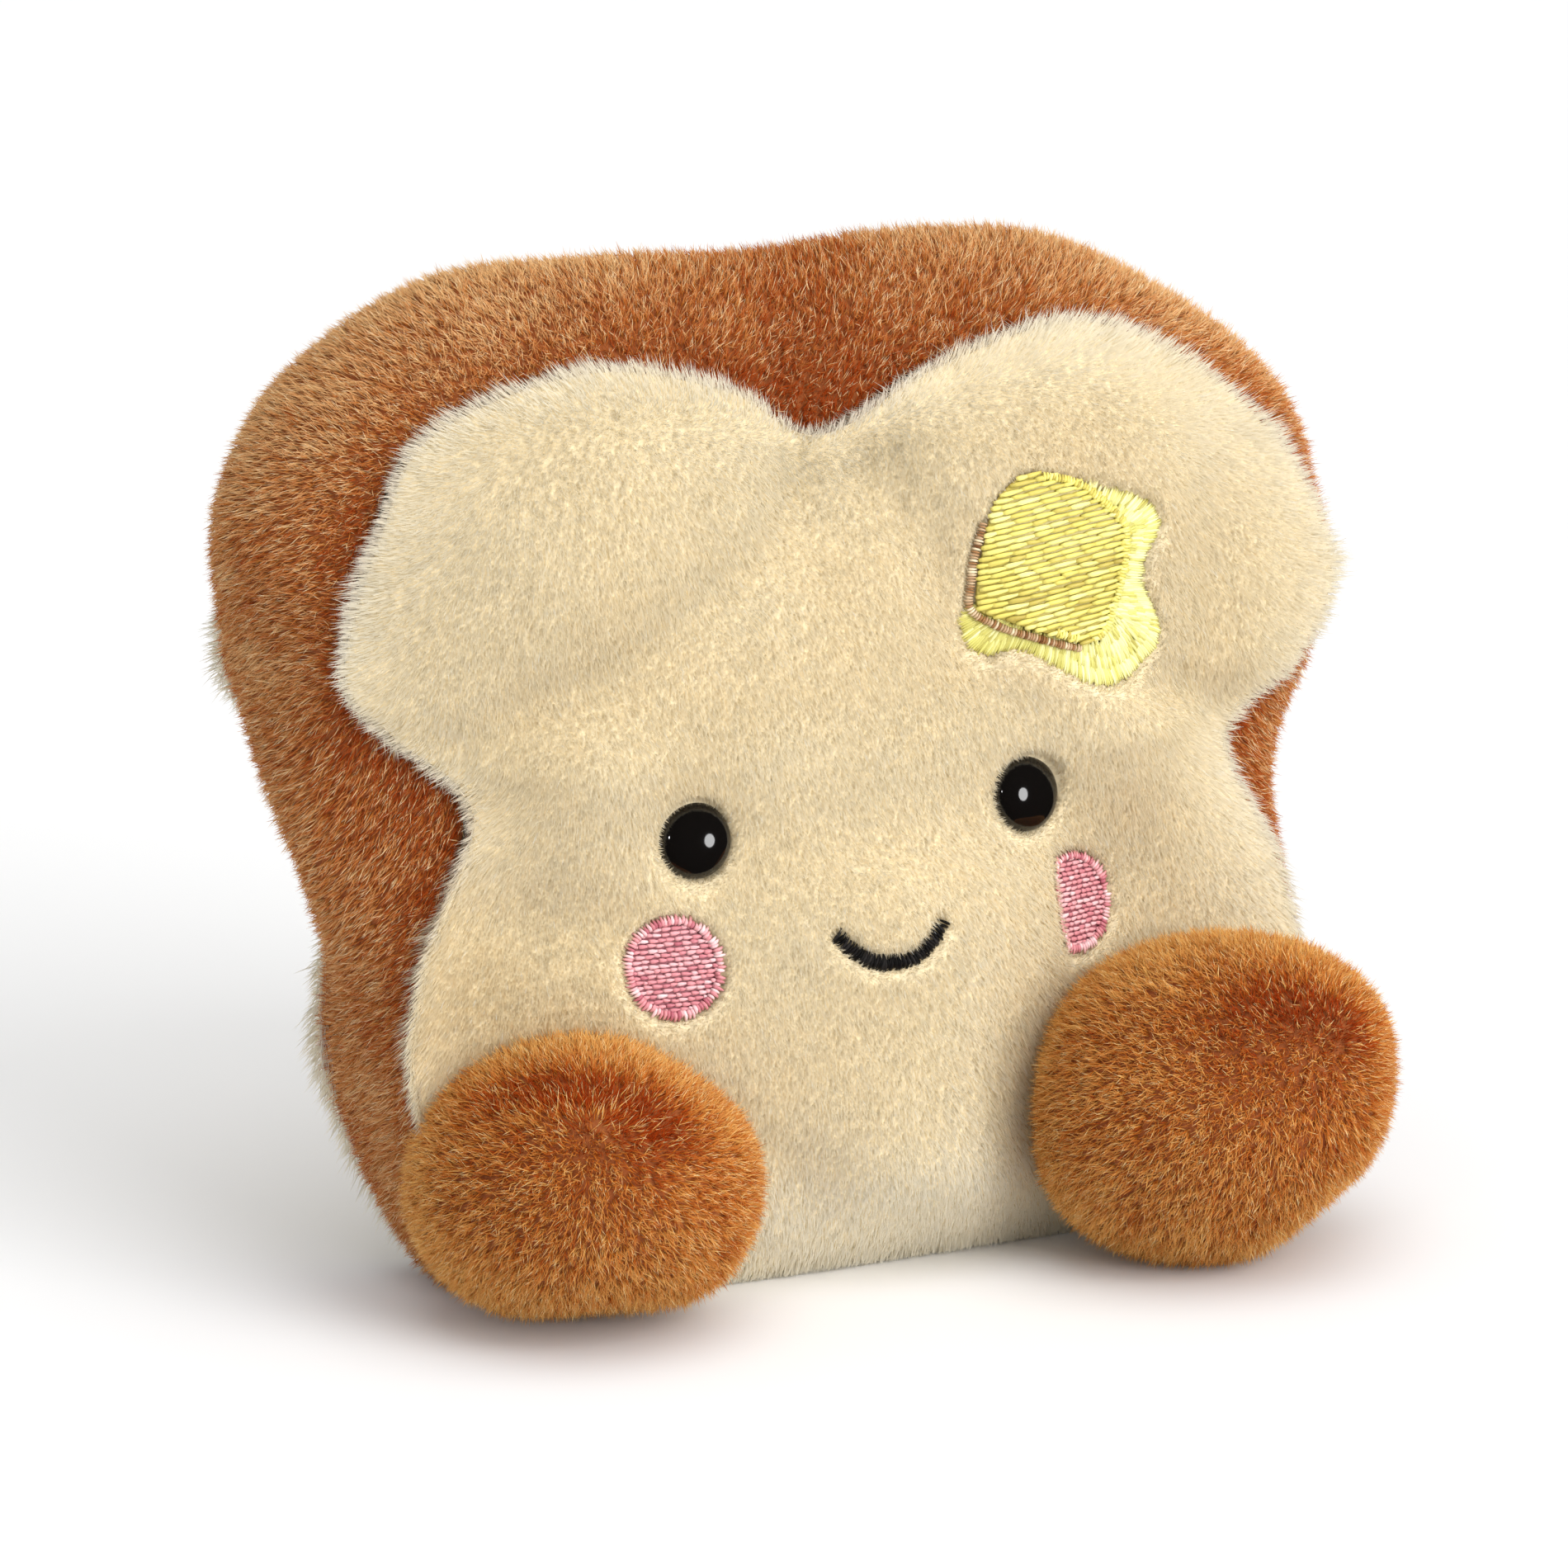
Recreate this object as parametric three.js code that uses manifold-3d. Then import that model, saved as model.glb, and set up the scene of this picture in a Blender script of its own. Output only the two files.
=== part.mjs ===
// A small stuffed toy in the shape of a slice of buttered toast, sitting on its base and two round feet.
// Units are millimetres, +Z is up and the face looks along -Y. Left and right are as seen from the front.
//
// The body is first laid out upright: the front seam lies in the plane y = 0, x runs to the right and z up,
// and the body reaches back to +y. It is then leaned back about its front bottom edge and pressed flat
// where it meets the ground. All solids follow the outer surface of the pile.

import * as THREE from 'three';
import { mergeVertices } from 'three/addons/utils/BufferGeometryUtils.js';
import Module from 'manifold-3d';

const wasm = await Module();
wasm.setup();

// ---- driving dimensions ----

// Outlines of the slice as points [x, z], clockwise from the dip in the top edge as seen from the front.
// SEAM is where the pale front panel is sewn to the brown crust band, CREST is the fullest line of the band.
const SEAM = [
  [-1.8, 107.4], [14.2, 114.2], [35.4, 118.7], [51.7, 112.1], [65.8, 99.6], [72.7, 83], [66.9, 71.6],
  [55.2, 62.2], [61.8, 45.7], [65.2, 29.4], [63.4, 14.4], [52.8, 3.2], [29.7, 0], [0, 0], [-28.9, 0.3],
  [-50.2, 3.9], [-59.2, 15.2], [-64.1, 30.8], [-61.5, 45.8], [-53.8, 64.1], [-64.3, 75.1], [-69.9, 83.7],
  [-63.8, 100.4], [-56, 112.3], [-34, 118.4], [-14.4, 114.4],
];
const CREST = [
  [0, 130.4], [20.9, 131.2], [42.1, 129.1], [62.5, 118.3], [75.2, 105.1], [76.1, 87.6], [75.2, 71],
  [69.8, 56.6], [68.6, 43], [67.9, 28.8], [63.7, 12.4], [51.9, -0.9], [29.8, -4], [0, -4], [-29.7, -4.3],
  [-51.1, -1.3], [-61.5, 12.3], [-64.5, 28.6], [-65.6, 42.2], [-69.6, 55.7], [-73, 70.9], [-73.5, 86.8],
  [-75, 103.2], [-63.5, 119.9], [-43.7, 130.7], [-21.1, 131.6],
];
const OUTLINE_STEPS = 3;            // straight pieces between two points of an outline
const LEAN_DEG = 7.35;              // backward lean of the sitting toy
const BAND_TOP = 28;                // crust band, seam to seam, at the top of the slice
const BAND_BASE = 23;               // and at the base
const BAND_EDGE_DEG = 68;           // half the arc of the band's rounded cross-section
const BAND_RINGS = 9;
const SWAY = 3.5;                   // how far the crest leans to the left at the top of the slice
const PANEL_HEIGHT = 118;           // height at which the band has its top width and full sway
const HUB = [0, 57];                // point from which the panels' rings spread
const PANEL_RINGS = [0.16, 0.32, 0.46, 0.58, 0.69, 0.79, 0.87, 0.93, 0.975, 1];
const RIM = 1.6;                    // pile standing in front of the seam
const FRONT_FULLNESS = 5;           // how far the stuffed front stands out all over
const BACK_FULLNESS = 8;
const BELLY = { rise: 7.2, x: 0, z: 34, spreadX: 24, spreadZ: 25 };
const LOBE = { rise: 3, x: 38, z: 92, spreadX: 20, spreadZ: 14 };
const DIP_VALLEY = { rise: -4, x: 0, z: 104, spreadX: 9, spreadZ: 16 };
const EYE_SOCKET = { rise: -2.2, spreadX: 6.5, spreadZ: 6.5 };
const CHEEK_HOLLOW = { rise: -3, x: 39, z: 42, spreadX: 9, spreadZ: 12 };
const GAP = 0.3;                    // between pieces that touch

// The face is sewn on by hand, so its two halves don't quite match.
const EYE = { left: [-24.7, 58.1], right: [23.1, 58.6], radius: 4.75, height: 3.6, sink: 2.4, steps: 20 };
const CHEEK = { left: [-29.6, 43], right: [28.1, 44], radius: 6.1, steps: 24 };
const SMILE = { x: -0.5, halfWidth: 7.5, z: 44.2, sag: 4.2, stroke: 1.8, steps: 16 };
const STITCH_SINK = 1.2;            // embroidery lies this deep in the pile
const STITCH_DEPTH = 1;
const PAT_DEPTH = 0.8;              // the butter pat is sewn over the melted butter
const POCKET_REACH = 8;             // how far a pocket's cutter stands out of the pile

// Butter pat as a rounded four-sided outline, and the pool of melted butter round it.
const PAT_OUTLINE = [
  [24.2, 99.6], [28.2, 99.4], [32.4, 97.9], [36.6, 94.1], [38.2, 91.4], [37.7, 86.3], [36.4, 82.2],
  [34.8, 78.4], [32, 77.1], [29.5, 77.8], [24.7, 79.5], [20.6, 81.2], [17.2, 83], [17.4, 88], [18.9, 93.8],
  [20.4, 96.9],
];
const MELT_OUTLINE = [
  [32.2, 97.9], [36.7, 96.8], [39.8, 95.9], [42.6, 94], [43.4, 91.8], [42.8, 90.1], [41.4, 87.7],
  [40.7, 85.1], [41.4, 82.7], [42.9, 79.8], [43.7, 77.4], [43.2, 75.2], [41.5, 73.6], [39.4, 72.1],
  [36, 71.3], [32.2, 71.8], [27.2, 74.6], [23.2, 76.8], [21, 77.4], [18.4, 76.8], [16.3, 77.8],
  [14.9, 80.1], [15, 82.6], [18.6, 85], [24, 90],
];
const STITCHED_STEPS = 2;           // straight pieces between two points of these outlines
const EDGE_STROKE = 1.2;            // brown stitched line along the pat's left and lower edges
const EDGE_PATH = [
  [18.2, 93.9], [17.4, 91.4], [16.7, 89.1], [16.4, 86.4], [16, 83.8], [16.8, 82.3], [18.7, 81.1],
  [21, 79.9], [24.6, 78.6], [27.7, 77.5], [30.8, 76.6],
];

const FOOT_STEPS = 28;
const BULGE_SPREAD = 0.12;          // how wide a soft bulge of a foot is, as one minus the cosine of an angle
// Each bulge is the direction that it faces and its height as a share of the foot's radius.
const FEET = [
  {
    side: 'left', centre: [-43.8, -6, 18.7], radii: [23.3, 21.8, 17.8],
    bulges: [
      [0.89, -0.45, 0, -0.04], [0.71, -0.16, 0.68, -0.09], [0.11, 0.22, 0.97, 0.035],
      [-0.55, 0.48, 0.68, 0.035], [-0.71, 0.16, -0.68, 0.065], [-0.11, -0.45, -0.89, -0.1],
      [0.55, -0.48, -0.68, 0.06], [0, 0.45, -0.89, 0.08],
    ],
  },
  {
    side: 'right', centre: [41.3, -16.2, 20.9], radii: [27.4, 23.2, 20.8],
    bulges: [
      [0.89, -0.45, 0, -0.14], [-0.89, 0.45, 0, -0.12], [-0.71, 0.16, -0.68, 0.06],
      [-0.11, -0.22, -0.97, 0.066], [0.55, -0.48, -0.68, -0.14],
    ],
  },
];

const FINISH = {
  crust: { color: 0xa0622f, roughness: 0.95, metalness: 0 },
  crumb: { color: 0xeddcb2, roughness: 0.95, metalness: 0 },
  foot: { color: 0x9a5a2b, roughness: 0.95, metalness: 0 },
  eye: { color: 0x0d0c0b, roughness: 0.08, metalness: 0 },
  cheek: { color: 0xdc93a0, roughness: 0.6, metalness: 0 },
  smile: { color: 0x151313, roughness: 0.7, metalness: 0 },
  butter: { color: 0xf0dd6c, roughness: 0.5, metalness: 0 },
  melt: { color: 0xf2efb0, roughness: 0.5, metalness: 0 },
  edge: { color: 0xb98d5e, roughness: 0.6, metalness: 0 },
};

// ---- outlines and surfaces ----

/** Smooth closed curve through points [x, z], with OUTLINE_STEPS pieces between two points. */
function smoothLoop(points, steps = OUTLINE_STEPS) {
  const knots = points.map(([x, z]) => new THREE.Vector3(x, 0, z));
  const curve = new THREE.CatmullRomCurve3(knots, true, 'catmullrom', 0.5);
  const count = points.length * steps;
  return Array.from({ length: count }, (_, i) => {
    const p = curve.getPoint(i / count);
    return [p.x, p.z];
  });
}

const seam = smoothLoop(SEAM);
const crest = smoothLoop(CREST);

/** Depth of the crust band's middle behind the front seam, at height z. */
function halfBand(z) {
  const share = z / PANEL_HEIGHT;
  return (BAND_BASE + (BAND_TOP - BAND_BASE) * share) / 2;
}

/** Sideways lean of a point that lies y behind the front seam. */
function sway(y, z) {
  const share = THREE.MathUtils.clamp(z / PANEL_HEIGHT, 0, 1);
  return -SWAY * (y / halfBand(z)) * share ** 1.5;
}

/** How far out from the hub a point lies, as a share of the way to the seam. */
function reach(x, z) {
  const angle = Math.atan2(z - HUB[1], x - HUB[0]);
  const length = Math.hypot(x - HUB[0], z - HUB[1]);
  for (let i = 0; i < seam.length; i += 1) {
    const [ax, az] = seam[i];
    const [bx, bz] = seam[(i + 1) % seam.length];
    const cross = (bx - ax) * Math.sin(angle) - (bz - az) * Math.cos(angle);
    const along = ((HUB[1] - az) * Math.cos(angle) - (HUB[0] - ax) * Math.sin(angle)) / -cross;
    const far = ((bx - ax) * (HUB[1] - az) - (bz - az) * (HUB[0] - ax)) / -cross;
    if (along >= -1e-9 && along <= 1 + 1e-9 && far > 0) return Math.min(length / far, 1);
  }
  return 1;
}

/** Height of one soft rise or hollow at (x, z). */
function swell({ rise, spreadX, spreadZ }, x, z) {
  return rise * Math.exp(-(x * x) / (2 * spreadX ** 2) - (z * z) / (2 * spreadZ ** 2));
}

/** How far the front panel stands out of the seam plane at (x, z). */
function frontRise(x, z) {
  const r = reach(x, z);
  let rise = RIM + FRONT_FULLNESS * (1 - r ** 3) ** 0.7;
  rise += swell(BELLY, x - BELLY.x, z - BELLY.z) * (1 - r ** 6);
  rise += swell(DIP_VALLEY, x - DIP_VALLEY.x, z - DIP_VALLEY.z) * (1 - r ** 8);
  for (const [side, eye] of [[-1, EYE.left], [1, EYE.right]]) {
    rise += swell(LOBE, x - side * LOBE.x, z - LOBE.z) * (1 - r ** 6);
    rise += swell(CHEEK_HOLLOW, x - side * CHEEK_HOLLOW.x, z - CHEEK_HOLLOW.z) * (1 - r ** 6);
    rise += swell(EYE_SOCKET, x - eye[0], z - eye[1]);
  }
  return rise;
}

/** How far the back panel stands out behind the back seam at share r of the way to the seam. */
function backRise(r) {
  return RIM + BACK_FULLNESS * (1 - r ** 2.5) ** 0.6;
}

const lean = THREE.MathUtils.degToRad(LEAN_DEG);

/** Leans an upright point back and keeps it above the ground. */
function seat(x, y, z) {
  const depth = y * Math.cos(lean) + z * Math.sin(lean);
  const height = -y * Math.sin(lean) + z * Math.cos(lean);
  return new THREE.Vector3(x, depth, Math.max(height, 0));
}

/** Point on the front pile at (x, z), raised by level. */
function frontPoint(x, z, level) {
  return seat(x, -(frontRise(x, z) + level), z);
}

/** Outward direction of the front pile at (x, z). */
function frontNormal(x, z) {
  const step = 0.5;
  const across = frontPoint(x + step, z, 0).sub(frontPoint(x - step, z, 0));
  const up = frontPoint(x, z + step, 0).sub(frontPoint(x, z - step, 0));
  return across.cross(up).normalize();
}

// ---- meshes from rings ----

/**
 * Closed mesh from rings of equal length, with a point closing each end.
 * Rings run so that the faces point outwards when they go from front to back.
 */
function closedSkin(start, rings, end) {
  const points = [start, ...rings.flat(), end];
  const width = rings[0].length;
  const faces = [];
  const at = (ring, i) => 1 + ring * width + (i % width);
  for (let i = 0; i < width; i += 1) {
    faces.push(0, at(0, i + 1), at(0, i));
    for (let ring = 0; ring + 1 < rings.length; ring += 1) {
      faces.push(at(ring, i), at(ring + 1, i + 1), at(ring + 1, i));
      faces.push(at(ring, i), at(ring, i + 1), at(ring + 1, i + 1));
    }
    faces.push(at(rings.length - 1, i), at(rings.length - 1, i + 1), points.length - 1);
  }
  const geometry = new THREE.BufferGeometry().setFromPoints(points);
  geometry.setIndex(faces);
  return geometry;
}

/** A loop of the seam's outline drawn in towards the hub by share r. */
function shrunkSeam(r, place) {
  return seam.map(([x, z]) => place(HUB[0] + (x - HUB[0]) * r, HUB[1] + (z - HUB[1]) * r));
}

/** Rings of the crust band from the front seam to the back seam, grown outwards by grow. */
function bandRings(grow = 0) {
  const edge = THREE.MathUtils.degToRad(BAND_EDGE_DEG);
  return Array.from({ length: BAND_RINGS }, (_, k) => {
    const angle = edge * ((2 * k) / (BAND_RINGS - 1) - 1);
    const share = (Math.cos(angle) - Math.cos(edge)) / (1 - Math.cos(edge));
    return seam.map(([sx, sz], i) => {
      const [cx, cz] = crest[i];
      const x = sx + (cx - sx) * share;
      const z = sz + (cz - sz) * share;
      const y = halfBand(z) * (1 + Math.sin(angle) / Math.sin(edge));
      const out = 1 + grow / Math.hypot(x, z - HUB[1]);
      return seat(x * out + sway(y, z), y, HUB[1] + (z - HUB[1]) * out);
    });
  });
}

/** Rings of a back panel surface: the seam outline carried to the back seam and raised by level(r). */
function backRings(level) {
  return [...PANEL_RINGS].reverse().map((r) => shrunkSeam(r, (x, z) => backPoint(x, z, level(r))));
}

/** Point behind the back seam's surface at (x, z). */
function backPoint(x, z, level) {
  const y = 2 * halfBand(z);
  return seat(x + sway(y, z), y + level, z);
}

/** Solid body envelope, used to keep the feet clear of the body. */
function bodyEnvelope(grow) {
  const front = PANEL_RINGS.map((r) => shrunkSeam(r, (x, z) => frontPoint(x, z, grow)));
  const back = backRings((r) => backRise(r) + grow);
  return closedSkin(
    frontPoint(...HUB, grow), [...front, ...bandRings(grow), ...back], backPoint(...HUB, backRise(0) + grow),
  );
}

/** Brown crust band with its stuffing, flat where the two panels lie on it. */
function crustBody() {
  return closedSkin(seat(HUB[0], 0, HUB[1]), bandRings(), backPoint(...HUB, 0));
}

/** Pale front panel with its stuffing. */
function frontPanel() {
  const rings = PANEL_RINGS.map((r) => shrunkSeam(r, (x, z) => frontPoint(x, z, 0)));
  const flat = shrunkSeam(1, (x, z) => seat(x, -GAP, z));
  return closedSkin(frontPoint(...HUB, 0), [...rings, flat], seat(HUB[0], -GAP, HUB[1]));
}

/** Pale back panel with its stuffing. */
function backPanel() {
  const flat = shrunkSeam(1, (x, z) => backPoint(x, z, GAP));
  return closedSkin(backPoint(...HUB, GAP), [flat, ...backRings(backRise)], backPoint(...HUB, backRise(0)));
}

/** Thin patch with the closed outline [x, z], lying in the front pile between two levels. */
function patch(outline, low, high) {
  const centre = outline.reduce(([a, b], [x, z]) => [a + x / outline.length, b + z / outline.length], [0, 0]);
  const ring = (r, level) => outline.map(([x, z]) => frontPoint(
    centre[0] + (x - centre[0]) * r, centre[1] + (z - centre[1]) * r, level,
  ));
  const shares = [0.35, 0.7, 1];
  return closedSkin(
    frontPoint(...centre, high),
    [...shares.map((r) => ring(r, high)), ...[...shares].reverse().map((r) => ring(r, low))],
    frontPoint(...centre, low),
  );
}

/** Outline grown outwards by grow, measured square to its edge. */
function grown(outline, grow) {
  const count = outline.length;
  return outline.map(([x, z], i) => {
    const [ax, az] = outline[(i + count - 1) % count];
    const [bx, bz] = outline[(i + 1) % count];
    const length = Math.hypot(bx - ax, bz - az);
    return [x - ((bz - az) / length) * grow, z + ((bx - ax) / length) * grow];
  });
}

/** Stroke of the given width along an open path of points [x, z], with square ends. */
function stroke(path, width, low, high) {
  const side = (i, offset) => {
    const [ax, az] = path[Math.max(i - 1, 0)];
    const [bx, bz] = path[Math.min(i + 1, path.length - 1)];
    const length = Math.hypot(bx - ax, bz - az);
    return [path[i][0] - ((bz - az) / length) * offset, path[i][1] + ((bx - ax) / length) * offset];
  };
  const rings = path.map((_, i) => [
    frontPoint(...side(i, width / 2), high), frontPoint(...side(i, -width / 2), high),
    frontPoint(...side(i, -width / 2), low), frontPoint(...side(i, width / 2), low),
  ]);
  const middle = (low + high) / 2;
  return closedSkin(
    frontPoint(...path[0], middle), rings, frontPoint(...path[path.length - 1], middle),
  );
}

/** Circle of points [x, z], running clockwise as seen from the front. */
function circle(x, z, radius, steps) {
  return Array.from({ length: steps }, (_, i) => {
    const angle = (-2 * Math.PI * i) / steps;
    return [x + radius * Math.cos(angle), z + radius * Math.sin(angle)];
  });
}

/** Middle line of the smile, from left to right. */
function smilePath() {
  return Array.from({ length: SMILE.steps + 1 }, (_, i) => {
    const share = (2 * i) / SMILE.steps - 1;
    return [SMILE.x + share * SMILE.halfWidth, SMILE.z - SMILE.sag * (1 - share * share)];
  });
}

/** Open smooth path through points [x, z]. */
function smoothPath(points, steps) {
  const knots = points.map(([x, z]) => new THREE.Vector3(x, 0, z));
  const curve = new THREE.CatmullRomCurve3(knots, false, 'catmullrom', 0.5);
  return curve.getPoints(steps).map((p) => [p.x, p.z]);
}

// ---- solids ----

/** Manifold solid of a closed geometry. */
function solid(geometry) {
  const bare = geometry.clone();
  bare.deleteAttribute('normal');
  bare.deleteAttribute('uv');
  const merged = mergeVertices(bare, 1e-5);
  const mesh = new wasm.Mesh({
    numProp: 3,
    vertProperties: new Float32Array(merged.attributes.position.array),
    triVerts: new Uint32Array(merged.index.array),
  });
  mesh.merge();
  return new wasm.Manifold(mesh);
}

/** Geometry of a Manifold solid. */
function geometryOf(manifold) {
  const mesh = manifold.getMesh();
  const geometry = new THREE.BufferGeometry();
  geometry.setAttribute('position', new THREE.BufferAttribute(new Float32Array(mesh.vertProperties), 3));
  geometry.setIndex(new THREE.BufferAttribute(new Uint32Array(mesh.triVerts), 1));
  return geometry;
}

/** The largest separate body of a solid. */
function largest(manifold) {
  return manifold.decompose().reduce((best, next) => (next.volume() > best.volume() ? next : best));
}

/** Domed eye disc, or the round pocket for it when grow is above zero. */
function eyeDome([x, z], grow = 0) {
  const radius = EYE.radius + grow;
  const top = grow > 0 ? POCKET_REACH : EYE.height;
  const profile = [new THREE.Vector2(0, -grow), new THREE.Vector2(radius, -grow)];
  const arcSteps = 7;
  for (let i = 0; i < arcSteps; i += 1) {
    const angle = (i / arcSteps) * (Math.PI / 2);
    const wall = grow > 0 ? radius : radius * Math.cos(angle);
    profile.push(new THREE.Vector2(wall, 0.6 + (top - 0.6) * Math.sin(angle)));
  }
  profile.push(new THREE.Vector2(0, top));
  const geometry = new THREE.LatheGeometry(profile, EYE.steps);
  const normal = frontNormal(x, z);
  const turn = new THREE.Quaternion().setFromUnitVectors(new THREE.Vector3(0, 1, 0), normal);
  geometry.applyQuaternion(turn);
  const foot = frontPoint(x, z, 0).addScaledVector(normal, -EYE.sink);
  return geometry.translate(foot.x, foot.y, foot.z);
}

/** Round stuffed foot, pressed flat on the ground and trimmed where it meets the body. */
function foot({ centre, radii, bulges }, envelope) {
  const sphere = new THREE.SphereGeometry(1, FOOT_STEPS, FOOT_STEPS / 2).rotateX(Math.PI / 2);
  const place = sphere.attributes.position;
  const point = new THREE.Vector3();
  for (let i = 0; i < place.count; i += 1) {
    point.fromBufferAttribute(place, i).multiply(new THREE.Vector3(...radii));
    const facing = point.clone().normalize();
    const share = bulges.reduce((sum, [x, y, z, rise]) => {
      const apart = 1 - facing.dot(new THREE.Vector3(x, y, z).normalize());
      return sum + rise * Math.exp(-apart / BULGE_SPREAD);
    }, 1);
    point.multiplyScalar(share).add(new THREE.Vector3(...centre));
    place.setXYZ(i, point.x, point.y, Math.max(point.z, 0));
  }
  const front = solid(new THREE.BoxGeometry(400, 200, 400).translate(0, 2 - 100, 0));
  return largest(solid(sphere).intersect(front).subtract(envelope));
}

const stitchTop = -STITCH_SINK;
const stitchLow = stitchTop - STITCH_DEPTH;
const pocketLow = stitchLow - GAP;

/** The front panel with a pocket for each thing that is sunk in its pile. */
function pocketedFront(outlines) {
  let panel = solid(frontPanel());
  for (const outline of outlines) {
    panel = panel.subtract(solid(patch(grown(outline, GAP), pocketLow, POCKET_REACH)));
  }
  panel = panel.subtract(solid(stroke(smileAround, SMILE.stroke + 2 * GAP, pocketLow, POCKET_REACH)));
  panel = panel.subtract(solid(stroke(edgeAround, EDGE_STROKE + 2 * GAP, pocketLow, POCKET_REACH)));
  for (const eye of [EYE.left, EYE.right]) panel = panel.subtract(solid(eyeDome(eye, GAP)));
  return largest(panel);
}

/** Path lengthened by GAP at both ends. */
function lengthened(path) {
  const stretch = ([ax, az], [bx, bz]) => {
    const length = Math.hypot(ax - bx, az - bz);
    return [ax + ((ax - bx) / length) * GAP, az + ((az - bz) / length) * GAP];
  };
  const last = path.length - 1;
  return [stretch(path[0], path[1]), ...path, stretch(path[last], path[last - 1])];
}

const smile = smilePath();
const edge = smoothPath(EDGE_PATH, 18);
const smileAround = lengthened(smile);
const edgeAround = lengthened(edge);
const cheeks = [CHEEK.left, CHEEK.right].map(([x, z]) => circle(x, z, CHEEK.radius, CHEEK.steps));
const pat = smoothLoop(PAT_OUTLINE, STITCHED_STEPS);
const melt = smoothLoop(MELT_OUTLINE, STITCHED_STEPS);

// ---- the toy ----

const toy = new THREE.Group();

/** Adds one named piece to the toy. */
function add(name, geometry, finish) {
  const mesh = new THREE.Mesh(geometry, new THREE.MeshStandardMaterial(finish));
  mesh.name = name;
  toy.add(mesh);
  return mesh;
}

/** The melted butter shows round the pat: it is cut away where the brown line is sewn. */
function meltPool() {
  const line = solid(stroke(edgeAround, EDGE_STROKE + 2 * GAP, pocketLow, POCKET_REACH));
  return largest(solid(patch(melt, stitchLow, stitchTop)).subtract(line));
}

/** The pat lies on the pool, and is trimmed along the brown line. */
function butterPat() {
  const line = solid(stroke(edgeAround, EDGE_STROKE + 2 * GAP, pocketLow, POCKET_REACH));
  const low = stitchTop + GAP;
  return largest(solid(patch(pat, low, low + PAT_DEPTH)).subtract(line));
}

const envelope = solid(bodyEnvelope(GAP));
add('crust', crustBody(), FINISH.crust);
add('crumb_front', geometryOf(pocketedFront([...cheeks, pat, melt])), FINISH.crumb);
add('crumb_back', backPanel(), FINISH.crumb);
for (const entry of FEET) add(`foot_${entry.side}`, geometryOf(foot(entry, envelope)), FINISH.foot);
add('eye_left', eyeDome(EYE.left), FINISH.eye);
add('eye_right', eyeDome(EYE.right), FINISH.eye);
add('cheek_left', patch(cheeks[0], stitchLow, stitchTop), FINISH.cheek);
add('cheek_right', patch(cheeks[1], stitchLow, stitchTop), FINISH.cheek);
add('smile', stroke(smile, SMILE.stroke, stitchLow, stitchTop), FINISH.smile);
add('butter_melt', geometryOf(meltPool()), FINISH.melt);
add('butter_pat', geometryOf(butterPat()), FINISH.butter);
add('butter_edge', stroke(edge, EDGE_STROKE, stitchLow, stitchTop + PAT_DEPTH), FINISH.edge);

// The origin is the middle of the base: the centre of the box round the whole toy, on the ground.
const box = new THREE.Box3().setFromObject(toy);
const middle = box.getCenter(new THREE.Vector3());
toy.position.set(-middle.x, -middle.y, 0);

export default toy;
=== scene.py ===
"""Looks of a small stuffed toy shaped as a slice of buttered toast.

The body is a brown crust band between two pale plush panels. It sits on its base and on two round
feet, with domed eyes and embroidery on the front. Every length below is in millimetres unless its
name says otherwise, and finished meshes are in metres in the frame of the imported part.
"""

import itertools
import logging
import math
from collections.abc import Callable
from dataclasses import dataclass, field
from enum import Enum

import bpy
import numpy as np
from mathutils import Euler, Matrix, Vector


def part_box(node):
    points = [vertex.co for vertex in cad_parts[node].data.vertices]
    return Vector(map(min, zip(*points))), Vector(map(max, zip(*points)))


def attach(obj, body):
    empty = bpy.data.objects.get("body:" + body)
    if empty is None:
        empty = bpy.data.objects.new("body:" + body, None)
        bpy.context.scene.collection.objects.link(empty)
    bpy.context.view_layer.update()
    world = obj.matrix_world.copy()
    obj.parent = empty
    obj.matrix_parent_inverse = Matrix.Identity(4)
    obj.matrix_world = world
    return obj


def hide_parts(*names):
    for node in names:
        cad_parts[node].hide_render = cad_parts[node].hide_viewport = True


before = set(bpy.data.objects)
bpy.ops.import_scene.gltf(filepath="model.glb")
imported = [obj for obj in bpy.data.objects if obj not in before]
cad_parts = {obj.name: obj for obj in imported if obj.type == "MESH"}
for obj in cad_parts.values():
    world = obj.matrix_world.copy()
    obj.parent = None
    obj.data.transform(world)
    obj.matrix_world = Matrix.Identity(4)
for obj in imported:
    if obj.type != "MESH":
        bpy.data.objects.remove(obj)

logging.basicConfig(level=logging.INFO, format="%(message)s")
log = logging.getLogger("toast_toy")

MM = 0.001
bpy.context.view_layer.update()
NOISE_CELLS = 32  # cells along each side of the block of random values that the noises repeat
SHADES = (0.03, 0.88)  # stretch of a pile's colour map that holds its plain strands
PAINTED_GLINT_SHADE = 0.97  # and the place past it that holds strands with a light dash, a painted glint
DOWN = np.array([0, 0, -1.0])
Array = np.ndarray
Places = dict[str, Array]
Socket = bpy.types.NodeSocket


class Side(Enum):
    """Left or right as seen from the front."""

    LEFT = -1
    RIGHT = 1


class Face(Enum):
    """Front or back of the slice, by the way that it faces along y."""

    FRONT = -1
    BACK = 1


# ---- sums over many points ----


def unit(vectors: Array) -> Array:
    """Scales vectors to length one."""
    return vectors / np.maximum(np.linalg.norm(vectors, axis=-1, keepdims=True), 1e-9)


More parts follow.
